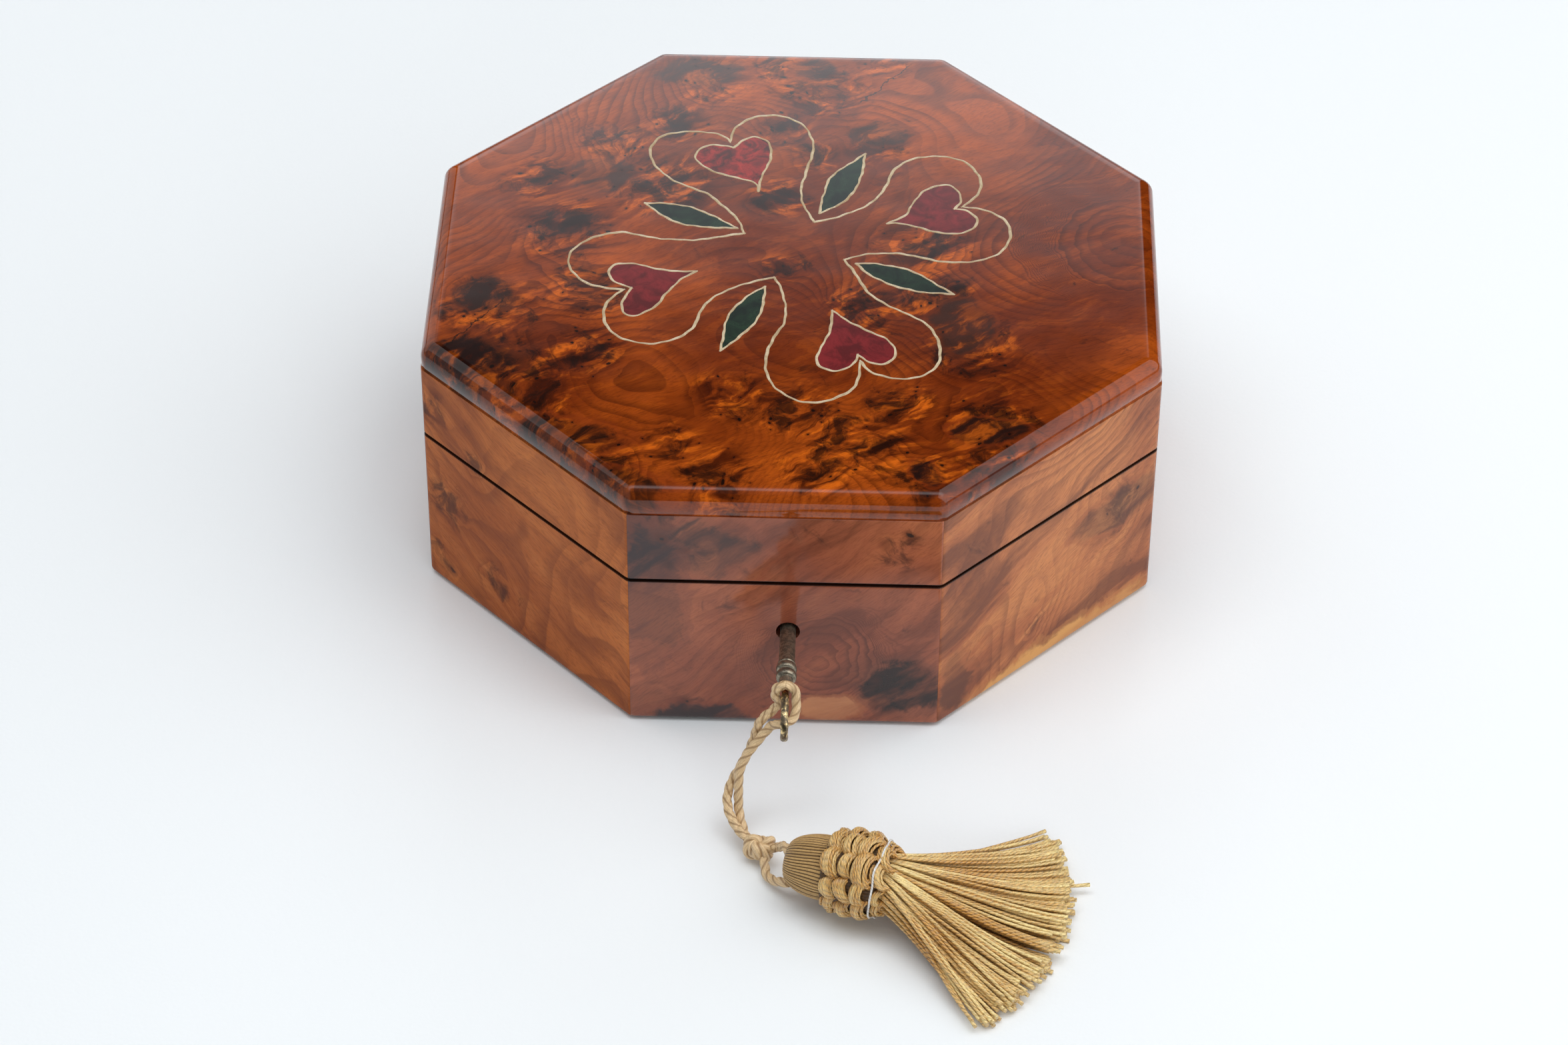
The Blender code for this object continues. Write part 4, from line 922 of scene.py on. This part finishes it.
faces = ["front", "front_right", "right", "back_right", "back", "back_left", "left", "front_left"]
slab = {
    "setback": 0.12 * mm,
    "bevel": 0.08 * mm,
    "bottom": 72.95 * mm,
    "top": 80.7 * mm,
    "round": 4.4 * mm,
    "corner": 4.5 * mm,
    "cornerLeft": 0.12,
    "roundSteps": 14,
    "cornerSteps": 10,
}
lock = {
    "width": 32 * mm,
    "depth": 4.3 * mm,
    "bottom": 23 * mm,
    "striker": 1.5 * mm,
    "slot": (2.8 * mm, 6.4 * mm),
    "hole": 3.2 * mm,
    "fit": 0.3 * mm,
}
hinge = {"places": (-24 * mm, 24 * mm), "length": 22 * mm, "depth": 6.5 * mm, "leaf": 1 * mm}


def roundedRim(bottom, top, low, high, steps=5):
    # Heights and insets of a board's edge: a quarter circle of radius low, a flank, another of high.
    angle = np.linspace(0, pi / 2, steps)
    foot = np.stack([bottom + low * (1 - np.cos(angle)), low * (1 - np.sin(angle))], 1)
    rim = np.stack([top - high * (1 - np.cos(angle)), high * (1 - np.sin(angle))], 1)
    inside = np.array([(bottom + 2 * low, 0), (top - 3 * high, 0)])
    return np.vstack([foot, inside, rim[::-1]])


def makeBoard(name, side, levels):
    # Mitred plan carried up the levels: the outer face moves in by each level's inset.
    half = pi / 8
    apothem, inner = box["across"] / 2, box["across"] / 2 - box["wall"]
    flatEnd = (apothem - box["corner"]) * tan(half)
    angle = -pi / 2 + half * np.linspace(1, 0, box["cornerSteps"] + 1)
    height, inset = levels[:, :1], levels[:, 1:]
    radius = box["corner"] - inset
    x = np.hstack([
        inner * tan(half) + 0 * inset, flatEnd + radius * np.cos(angle), flatEnd - 0.6 * mm + 0 * inset,
    ])
    y = np.hstack([
        -inner + 0 * inset, box["corner"] - apothem + radius * np.sin(angle), inset - apothem,
    ])
    x[:, :2] -= box["joint"]
    x, y = np.hstack([x, -x[:, ::-1]]), np.hstack([y, y[:, ::-1]])
    turn = pi / 4 * side
    grid = np.stack([x * cos(turn) - y * sin(turn), x * sin(turn) + y * cos(turn), height + 0 * x], -1)
    part = "box" if name.startswith("body") else "lid"
    piece = gridPiece(name, grid[None], part, sidePaints[side])
    piece.data.set_sharp_from_angle(angle=radians(25))
    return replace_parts(piece, name)


def block(low, high):
    # A box between two corners, to cut with.
    x, y, z = ((low[n], high[n]) for n in range(3))
    corners = [(a, b, c) for a in x for b in y for c in z]
    sides = [(0, 1, 3, 2), (4, 6, 7, 5), (0, 4, 5, 1), (2, 3, 7, 6), (0, 2, 6, 4), (1, 5, 7, 3)]
    mesh = bpy.data.meshes.new("cutter")
    mesh.from_pydata(corners, [], sides)
    return linkObject(bpy.data.objects.new("cutter", mesh))


def carve(piece, *cutters):
    # Each cutter is taken out of the piece, whose mesh then holds the result.
    for cutter in cutters:
        cut = piece.modifiers.new("cut", "BOOLEAN")
        cut.object = cutter
        cut.solver = "EXACT"
    graph = bpy.context.evaluated_depsgraph_get()
    piece.data = bpy.data.meshes.new_from_object(piece.evaluated_get(graph))
    piece.modifiers.clear()
    piece.data.set_sharp_from_angle(angle=radians(25))
    for cutter in cutters:
        bpy.data.objects.remove(cutter)


def makeBoards():
    # Eight boards for the body and eight for the lid, then the keyhole and the beds that are cut
    # into them: for the lock and its striker in front, and for the hinges' leaves at the back.
    bodyLevels = roundedRim(box["bodyBottom"], box["bodyTop"], box["foot"], box["rim"])
    lidLevels = roundedRim(box["lidBottom"], box["lidTop"], box["rim"], box["rim"] / 3)
    bodyBoards = [makeBoard("body_side_" + face, side, bodyLevels) for side, face in enumerate(faces)]
    lidBoards = [makeBoard("lid_side_" + face, side, lidLevels) for side, face in enumerate(faces)]
    fit = lock["fit"]
    half = lock["width"] / 2 + fit
    inside = box["wall"] - box["across"] / 2
    front = inside - lock["depth"] - fit
    bpy.ops.mesh.primitive_cylinder_add(
        vertices=64, radius=lock["hole"], depth=4 * box["wall"], location=keyPlace, rotation=(pi / 2, 0, 0))
    hole = bpy.context.object
    slotHalf, slotDrop = lock["slot"][0] / 2, lock["slot"][1]
    carve(
        bodyBoards[0], hole,
        block((keyPlace[0] - slotHalf, keyPlace[1] - box["wall"], keyPlace[2] - slotDrop),
              (keyPlace[0] + slotHalf, inside + box["wall"], keyPlace[2])),
        block((-half, front, lock["bottom"] - fit),
              (half, inside + box["wall"], box["bodyTop"] + box["wall"])),
    )
    carve(lidBoards[0], block(
        (-half, front, box["lidBottom"] - box["wall"]),
        (half, inside + box["wall"], box["lidBottom"] + lock["striker"])))
    back = box["across"] / 2
    low, high = box["bodyTop"] - hinge["leaf"] - fit, box["lidBottom"] + hinge["leaf"] + fit
    sinks = ((bodyBoards[4], low, low + box["wall"]), (lidBoards[4], high - box["wall"], high))
    for board, bottom, top in sinks:
        carve(board, *[block(
            (x - hinge["length"] / 2 - fit, back - hinge["depth"] - fit, bottom),
            (x + hinge["length"] / 2 + fit, back + box["wall"], top)) for x in hinge["places"]])


def octagonRing(apothem, radius, steps):
    # Eight arcs: centre (apothem - radius) / cos(22.5) out along each corner's direction.
    corner = pi / 8 * (2 * np.arange(8)[:, None] + 1)
    angle = corner + pi / 8 * np.linspace(-1, 1, steps + 1)
    out = (apothem - radius) / cos(pi / 8)
    x = out * np.cos(corner) + radius * np.cos(angle)
    y = out * np.sin(corner) + radius * np.sin(angle)
    return np.stack([x, y], -1).reshape(-1, 2)


def makeSlab():
    # The octagon moves in by R(1 - cos a) as it rises to top - R(1 - sin a).
    apothem = box["across"] / 2 - slab["setback"]
    angles = np.linspace(0, pi / 2, slab["roundSteps"] + 1)
    bottom, bevel, corner = slab["bottom"], slab["bevel"], slab["corner"]
    rings = [(bottom, bevel, corner), (bottom + bevel, 0, corner)]
    for angle in angles:
        left = 1 - (1 - slab["cornerLeft"]) * (1 - cos(angle))
        inset, drop = slab["round"] * (1 - cos(angle)), slab["round"] * (1 - sin(angle))
        rings.append((slab["top"] - drop, inset, slab["corner"] * left))
    rings.append((slab["top"], slab["round"] + 0.8 * mm, slab["corner"] * slab["cornerLeft"]))
    grid = []
    for height, inset, corner in rings:
        ring = octagonRing(apothem - inset, corner, slab["cornerSteps"])
        grid.append(np.column_stack([ring, np.full(len(ring), height)]))
    piece = gridPiece("lidSlab", np.array(grid)[None], "lid", topPaint)
    piece.data.materials.append(insidePaint)
    piece.data.polygons[len(piece.data.polygons) - 2].material_index = 1
    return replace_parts(piece, "lid_panel")


plank = {
    **burlTop, "arcs": [], "patches": [], "cracks": [],
    "coat": 0.45, "warp": 16, "ringScale": 0.010, "rings": 14, "ringPitch": 0.55, "ringStrength": 0.5,
    "flameScale": (0.014, 0.10, 0.10), "calmFlame": 0.45, "flameShare": 0.6, "eyeSpacing": 6.5, "fibre": 0.5,
    "light": (0.42, 0.125, 0.034), "mid": (0.27, 0.068, 0.018), "deep": (0.11, 0.024, 0.009),
    "dark": (0.035, 0.011, 0.008), "flame": (0.50, 0.16, 0.045), "cloudShare": 0.7,
}
# Each side's own look, from the front round by the right.
sideLooks = [
    dict(
        light=(0.44, 0.13, 0.062), mid=(0.27, 0.072, 0.038), deep=(0.085, 0.024, 0.016),
        dark=(0.022, 0.014, 0.016), flame=(0.50, 0.15, 0.06), coat=1.0, warp=24, flameTurn=38,
        flameScale=(0.020, 0.065, 0.06), calmFlame=0.5, rings=22, ringPitch=0.2, ringStrength=0.3, fibre=0.35,
        clusters=[(-34, 66, 13), (-24, 60, 7), (30, 62, 8), (-22, 3, 7), (29, 12, 9)],
        arcs=[(9, 24, 24, 0.36)], arcStrength=2.4,
        patches=[
            (12, 5, 8, 4, (0.56, 0.23, 0.10), (0.44, 0.15, 0.06)),
            (31, 14, 10, 9, (0.018, 0.012, 0.012), (0.15, 0.050, 0.032)),
            (-25, 62, 17, 8, (0.060, 0.030, 0.026), (0.19, 0.055, 0.034)),
            (-22, 0, 14, 6, (0.040, 0.026, 0.028), (0.20, 0.05, 0.03)),
            (-36, 46, 9, 20, (0.040, 0.024, 0.026), (0.16, 0.05, 0.035)),
        ],
    ),
    dict(
        light=(0.58, 0.20, 0.066), mid=(0.40, 0.115, 0.038), deep=(0.12, 0.032, 0.015),
        flame=(0.72, 0.28, 0.09), coat=0.7, flameTurn=24, flameScale=(0.011, 0.050, 0.05),
        calmFlame=0.8, rings=46, ringPitch=0.12, ringStrength=0.42, fibre=0.45, warp=30,
        clusters=[(28, 36, 10), (-4, 14, 4)],
        patches=[
            (8, -2, 36, 8, (0.70, 0.34, 0.10), (0.60, 0.24, 0.07)),
            (28, 38, 17, 6, (0.075, 0.026, 0.016), (0.30, 0.08, 0.03)),
            (-35, 13, 6, 10, (0.12, 0.036, 0.018), (0.30, 0.08, 0.03)),
        ],
    ),
    dict(
        light=(0.46, 0.15, 0.05), mid=(0.29, 0.08, 0.03), flameTurn=-10, calmFlame=0.8, coat=0.6,
        clusters=[(-20, 20, 12)],
    ),
    dict(
        light=(0.42, 0.13, 0.04), mid=(0.25, 0.065, 0.022), flameTurn=24, warp=24, rings=30, ringPitch=0.2,
        clusters=[(10, 40, 16), (-30, 12, 10)],
    ),
    dict(
        light=(0.42, 0.115, 0.035), mid=(0.23, 0.055, 0.018), flameTurn=-28, warp=26, rings=34,
        ringPitch=0.2, clusters=[(-24, 52, 14), (20, 20, 15), (34, 60, 8)],
    ),
    dict(
        light=(0.44, 0.14, 0.045), mid=(0.27, 0.075, 0.026), flameTurn=12, calmFlame=0.7,
        clusters=[(-14, 30, 12)],
    ),
    dict(
        light=(0.44, 0.14, 0.045), mid=(0.28, 0.08, 0.028), flameTurn=-16, clusters=[(24, 46, 10)],
    ),
    dict(
        light=(0.56, 0.165, 0.038), mid=(0.39, 0.098, 0.022), deep=(0.16, 0.036, 0.012),
        flame=(0.62, 0.20, 0.05), flameTurn=-20, calmFlame=0.5, coat=0.35,
        rings=44, ringPitch=0.12, ringStrength=0.5, warp=30,
        clusters=[(-33, 30, 11), (-14, 14, 6), (-20, 52, 5), (-36, 8, 7), (-37, 62, 7)],
    ),
]
topPaint = burlWood("burlTop", burlTop)
insidePaint = plainWood("insideWood", (0.40, 0.17, 0.07), (0.24, 0.09, 0.035))
sidePaints = [
    burlWood("burl." + face, {**plank, **look}, side=side, shift=(37 * side, 11 * side, 0), gloss=0.09)
    for side, (face, look) in enumerate(zip(faces, sideLooks))
]
makeBoards()
makeSlab()
brassPaint = metalPaint("brass", (0.72, 0.50, 0.20), (0.40, 0.27, 0.11), 0.5, 0.25)
for name, paint in (("bottom_panel", insidePaint), ("lock_case", brassPaint), ("lock_striker", brassPaint)):
    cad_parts[name].material_slots[0].material = paint
for side in ("left", "right"):
    for part in ("body_leaf", "lid_leaf", "pin"):
        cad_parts[f"hinge_{side}_{part}"].material_slots[0].material = brassPaint
print("box done")


# Inlay: each line is drawn in strokes from corner to corner, in millimetres on the lid

inlay = {
    "lineWidth": 0.76 * mm,
    "overshoot": 0.5 * mm,
    "proud": 0.04 * mm,
    "wobble": 0.16 * mm,
}
# one petal side a row: from a cusp to a notch, or back
petalStrokes = [
    [(5.0, 17.6), (1.9, 25.0), (1.0, 33.6), (2.4, 42.1), (3.9, 50.7), (3.1, 57.9), (1.0, 62.9),
     (-2.9, 66.1), (-7.9, 67.6), (-12.9, 66.7), (-16.7, 63.6), (-19.0, 59.3), (-19.7, 54.3)],
    [(-19.7, 54.3), (-20.7, 56.1), (-24.3, 58.4), (-30.0, 58.9), (-35.7, 58.1), (-40.0, 55.7), (-42.0, 50.7),
     (-41.4, 45.0), (-39.0, 40.0), (-35.0, 35.7), (-30.0, 32.4), (-25.0, 29.3), (-20.7, 24.3),
     (-16.7, 18.6), (-14.3, 11.7)],
    [(-14.3, 11.7), (-19.3, 10.4), (-25.7, 8.7), (-30.7, 8.1), (-37.9, 8.6), (-43.6, 10.1), (-47.9, 11.0),
     (-53.6, 9.7), (-58.6, 6.4), (-61.7, 1.4), (-62.1, -3.6), (-60.0, -8.6), (-56.4, -12.1),
     (-51.4, -14.1), (-46.4, -14.7)],
    [(-46.4, -14.7), (-50.0, -19.3), (-51.4, -25.0), (-50.0, -30.7), (-47.1, -35.0), (-42.1, -37.6),
     (-37.1, -37.9), (-31.4, -35.7), (-27.1, -31.4), (-25.6, -25.7), (-23.6, -20.0), (-18.6, -14.3),
     (-12.1, -10.4), (-5.4, -7.9)],
    [(-5.4, -7.9), (-3.3, -13.6), (-2.0, -20.7), (-2.4, -27.9), (-5.0, -35.0), (-6.7, -42.1), (-6.4, -48.6),
     (-4.3, -55.0), (0.0, -59.6), (5.3, -61.6), (10.7, -60.4), (15.7, -56.7), (18.1, -51.4),
     (18.6, -43.6)],
    [(18.6, -43.6), (21.4, -48.1), (25.7, -50.0), (30.7, -50.9), (35.7, -49.0), (39.0, -45.0), (40.1, -38.6),
     (38.6, -31.4), (35.0, -25.7), (30.0, -22.1), (24.3, -18.1), (20.0, -12.9), (17.1, -6.4),
     (13.6, 0.7)],
    [(13.6, 0.7), (19.3, 3.3), (26.4, 4.1), (32.9, 3.0), (39.3, 1.1), (46.4, 0.6), (52.9, 2.7), (57.6, 7.1),
     (59.4, 13.6), (58.3, 19.3), (55.0, 23.3), (50.7, 25.3), (46.1, 26.0)],
    [(46.1, 26.0), (49.3, 30.0), (51.3, 35.7), (50.3, 42.1), (46.7, 47.1), (40.7, 49.4), (34.3, 48.9),
     (29.3, 45.7), (26.1, 40.7), (24.3, 33.6), (20.7, 27.1), (15.7, 22.9), (10.7, 19.7), (5.0, 17.6)],
]
# each heart: tip to notch, and notch to tip
heartStrokes = [
    ([(25.3, 17.6), (30.0, 21.4), (32.4, 27.1), (35.0, 32.4), (38.6, 35.4), (42.1, 35.9), (45.0, 32.9),
      (45.6, 28.6), (44.0, 25.0)],
     [(44.0, 25.0), (47.1, 24.3), (49.7, 21.4), (50.0, 17.9), (47.9, 15.0), (43.6, 13.6), (38.6, 14.3),
      (32.9, 16.4), (28.6, 17.9), (25.3, 17.6)]),
    ([(-11.0, 31.3), (-11.6, 34.4), (-15.0, 36.7), (-22.1, 39.3), (-26.4, 42.1), (-28.9, 45.7), (-28.7, 49.6),
      (-25.7, 52.4), (-21.4, 52.6), (-18.6, 51.6)],
     [(-18.6, 51.6), (-16.1, 55.0), (-12.9, 57.1), (-9.3, 55.0), (-8.0, 50.0), (-8.6, 43.6), (-10.4, 37.9),
      (-11.0, 31.3)]),
    ([(-26.9, -5.9), (-30.7, -9.3), (-34.3, -15.0), (-36.7, -20.7), (-40.0, -24.3), (-43.6, -26.1),
      (-46.1, -24.3), (-46.4, -20.0), (-44.3, -13.9)],
     [(-44.3, -13.9), (-47.9, -11.9), (-50.3, -9.3), (-50.7, -5.7), (-48.6, -3.3), (-44.3, -3.1),
      (-39.3, -4.7), (-33.6, -5.9), (-26.9, -5.9)]),
    ([(10.7, -22.1), (15.0, -26.4), (20.7, -30.7), (25.7, -34.3), (28.0, -38.6), (27.1, -42.9),
      (24.3, -44.7), (20.7, -43.6), (17.9, -41.0)],
     [(17.9, -41.0), (17.1, -44.3), (14.3, -47.1), (10.7, -47.9), (7.4, -45.7), (7.1, -41.4), (8.9, -35.7),
      (10.4, -29.3), (10.7, -22.1)]),
]
# each leaf: base to tip, and back
leafStrokes = [
    ([(6.4, 21.7), (7.3, 30.7), (9.3, 38.6), (13.6, 44.3), (18.7, 49.9)],
     [(18.7, 49.9), (18.1, 43.6), (17.1, 36.4), (14.7, 30.0), (10.7, 25.0), (6.4, 21.7)]),
    ([(-16.4, 14.0), (-23.6, 19.6), (-29.3, 23.1), (-36.4, 24.6), (-42.4, 24.7)],
     [(-42.4, 24.7), (-38.6, 20.4), (-33.6, 16.4), (-26.4, 14.3), (-16.4, 14.0)]),
    ([(-7.9, -12.1), (-12.9, -17.1), (-17.1, -24.3), (-18.3, -32.1), (-19.0, -40.4)],
     [(-19.0, -40.4), (-13.6, -33.6), (-9.6, -26.4), (-8.1, -19.3), (-7.9, -12.1)]),
    ([(16.9, -1.0), (22.9, -0.9), (30.7, -3.1), (36.4, -7.1), (43.6, -13.7)],
     [(43.6, -13.7), (35.0, -12.9), (27.1, -10.4), (20.7, -5.7), (16.9, -1.0)]),
]


def drawStroke(points):
    # A smooth curve through the points, run on past both ends, with a slow sideways wobble.
    curve = smoothCurve(np.array(points) * mm, 10)
    before = unit(curve[0] - curve[2]) * inlay["overshoot"]
    after = unit(curve[-1] - curve[-3]) * inlay["overshoot"]
    curve = np.vstack([curve[0] + before, curve, curve[-1] + after])
    along = np.concatenate([[0], np.cumsum(np.linalg.norm(np.diff(curve, axis=0), axis=1))])
    at = np.linspace(0, along[-1], 170)
    curve = np.stack([np.interp(at, along, curve[:, n]) for n in range(2)], 1)
    tangent = unit(np.gradient(curve, axis=0))
    normal = np.stack([-tangent[:, 1], tangent[:, 0]], 1)
    phase = 2 * pi * chance.random(3)
    waves = sum(np.sin(at / length + phase[n]) for n, length in enumerate((2.6 * mm, 1.3 * mm, 0.7 * mm)))
    ease = np.minimum(1, np.minimum(at, at[-1] - at) / (3 * mm))
    return curve + normal * (inlay["wobble"] / 2 * waves * ease)[:, None]


def strokePieces(name, strokes, node):
    # A ribbon of width w(i) with a low crown: across = w(-1/2 ... 1/2), up = the crown's heights.
    paths = np.array([drawStroke(stroke) for stroke in strokes])
    tangent = unit(np.gradient(paths, axis=1))
    normal = np.stack([-tangent[..., 1], tangent[..., 0]], -1)
    count, rows = paths.shape[:2]
    slow = np.sin(np.linspace(0, 14, rows)[None] + 6.3 * chance.random((count, 1)))
    quick = np.sin(np.linspace(0, 61, rows)[None] + 6.3 * chance.random((count, 1)))
    ends = np.minimum(1, 0.25 + np.minimum(np.arange(rows), np.arange(rows)[::-1]) / 3)
    width = inlay["lineWidth"] * (1 + 0.16 * slow + 0.10 * quick) * ends
    across = np.array((-0.5, -0.5, -0.28, 0.28, 0.5, 0.5))
    crown = np.array((-0.3 * mm, 0, inlay["proud"], inlay["proud"], 0, -0.3 * mm))
    layer = 0.008 * mm * (np.arange(count) % 2)
    flat = paths[:, :, None] + normal[:, :, None] * (width[..., None] * across)[..., None]
    height = slab["top"] + crown + layer[:, None, None] + 0 * flat[..., 0]
    grid = np.concatenate([flat, height[..., None]], -1)
    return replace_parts(gridPiece(name, grid, "lid", linePaint), node)


def fillPiece(name, strokes, node, paint):
    # The area inside two strokes, as one flat face on short walls.
    first, second = (smoothCurve(np.array(stroke) * mm, 10) for stroke in strokes)
    ring = np.vstack([first[:-1], second[:-1]])
    low = np.column_stack([ring, np.full(len(ring), slab["top"] - 0.4 * mm)])
    high = np.column_stack([ring, np.full(len(ring), slab["top"] + 0.02 * mm)])
    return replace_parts(gridPiece(name, np.array([[low, high]]), "lid", paint, smooth=False), node)


linePaint = inlayPaint("paleLine", (0.60, 0.48, 0.31), (0.40, 0.28, 0.15), 0.2)
heartPaints = [
    inlayPaint("redHeart", (0.200, 0.016, 0.018), (0.095, 0.009, 0.010)),
    inlayPaint("clearRedHeart", (0.38, 0.022, 0.016), (0.060, 0.008, 0.008)),
]
leafPaint = inlayPaint("greenLeaf", (0.015, 0.034, 0.018), (0.007, 0.012, 0.009))
strokePieces("petalLines", petalStrokes, "line_petals")
for k in range(4):
    strokePieces(f"heartLine{k + 1}", heartStrokes[k], f"line_heart_{k + 1}")
    strokePieces(f"leafLine{k + 1}", leafStrokes[k], f"line_leaf_{k + 1}")
    fillPiece(f"heart{k + 1}", heartStrokes[k], f"heart_{k + 1}", heartPaints[k == 1])
    fillPiece(f"leaf{k + 1}", leafStrokes[k], f"leaf_{k + 1}", leafPaint)
print("inlay done")


# Key

key = {
    "inside": 7 * mm,
    "shankRadius": 2.1 * mm,
    "collarStart": 13.4 * mm,
    "beads": (14.9 * mm, 17.7 * mm),
    "beadRadius": 2.75 * mm,
    "beadLength": 2.5 * mm,
    "neckEnd": 22.8 * mm,
    "neckRadius": 1.4 * mm,
    "bowHalf": (9.5 * mm, 5.5 * mm),
    "bowRim": 2 * mm,
    "bowThickness": 1.9 * mm,
    "knobs": (90, 28, -28, -90),  # degrees round the bow
    "bit": (1.6 * mm, 4 * mm, 3.6 * mm),
}


def makeKey():
    # Shaft: radius(d) = the larger of the shank or neck and each bead's half circle.
    d = np.concatenate([np.linspace(-key["inside"], key["collarStart"] - mm, 12),
                        np.linspace(key["collarStart"] - 0.9 * mm, key["neckEnd"], 90)])
    neckShare = np.clip((d - key["beads"][1]) / (key["neckEnd"] - key["beads"][1]), 0, 1)
    base = key["shankRadius"] * (1 + 0.04 * np.clip(d / key["collarStart"], 0, 1))
    base = base - (key["shankRadius"] - key["neckRadius"]) * neckShare ** 0.7
    radius = base
    for middle in key["beads"]:
        u = np.clip((d - middle) / (key["beadLength"] / 2), -1, 1)
        bead = key["shankRadius"] + (key["beadRadius"] - key["shankRadius"]) * np.sqrt(1 - u**2)
        radius = np.maximum(radius, np.where(np.abs(u) < 1, bead, 0))
    u = np.clip((d - key["collarStart"] + 0.2 * mm) / (0.5 * mm), -1, 1)
    ring = key["shankRadius"] * (1 + 0.16 * np.sqrt(1 - u**2))
    radius = np.maximum(radius, np.where(np.abs(u) < 1, ring, 0))
    angle = 2 * pi * np.arange(48) / 48
    grid = np.stack([
        keyPlace[0] + radius[:, None] * np.cos(angle), keyPlace[1] - d[:, None] + 0 * angle,
        keyPlace[2] + radius[:, None] * np.sin(angle)], -1)
    shaft = gridPiece("keyShaft", grid[None], "box", bronzePaint)
    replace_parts(shaft, "key")
    # Bow: a rounded section carried round an oval, thicker at its four knobs.
    t = 2 * pi * np.arange(160) / 160
    halfOut, halfUp = (half - key["bowRim"] / 2 for half in key["bowHalf"])
    middle = np.stack([0 * t, -halfOut * np.cos(t), halfUp * np.sin(t)], 1) + keyPlace - (0, bowOut, 0)
    normal = unit(np.stack([0 * t, -np.cos(t) / halfOut, np.sin(t) / halfUp], 1))
    swell = 1 + 0.13 * sum(
        np.exp(-(np.angle(np.exp(1j * (t - radians(place)))) / 0.13) ** 2) for place in key["knobs"])
    swell = np.minimum(swell, 1.12)[:, None, None]
    s = 2 * pi * np.arange(20) / 20
    inPlane = key["bowRim"] / 2 * np.sign(np.cos(s)) * np.abs(np.cos(s)) ** 0.75
    acrossPlane = key["bowThickness"] / 2 * np.sign(np.sin(s)) * np.abs(np.sin(s)) ** 0.75
    grid = middle[:, None] + swell * (
        inPlane[None, :, None] * normal[:, None] + acrossPlane[None, :, None] * np.array((1.0, 0, 0)))
    gridPiece("keyBow", grid[None], "box", bowPaint, ring=True)
    width, length, drop = key["bit"]
    back = keyPlace[1] + key["inside"] - 0.3 * mm
    x, y, z = keyPlace[0], back - length / 2, keyPlace[2] - key["shankRadius"] / 2 - drop / 2
    section = np.array([(-1, -1), (1, -1), (1, 1), (-1, 1)]) / 2 * (width, length) + (x, y)
    grid = np.stack([np.column_stack([section, np.full(4, z + up * drop / 2)]) for up in (-1, 1)])
    gridPiece("keyBit", grid[None], "box", bronzePaint, smooth=False)


bronzePaint = metalPaint("darkBronze", (0.36, 0.31, 0.225), (0.17, 0.15, 0.115), 0.5, 0.30, 0.85)
bowPaint = metalPaint("wornBow", (0.80, 0.60, 0.30), (0.16, 0.125, 0.085), 0.46, 0.22)
makeKey()
print("key done")
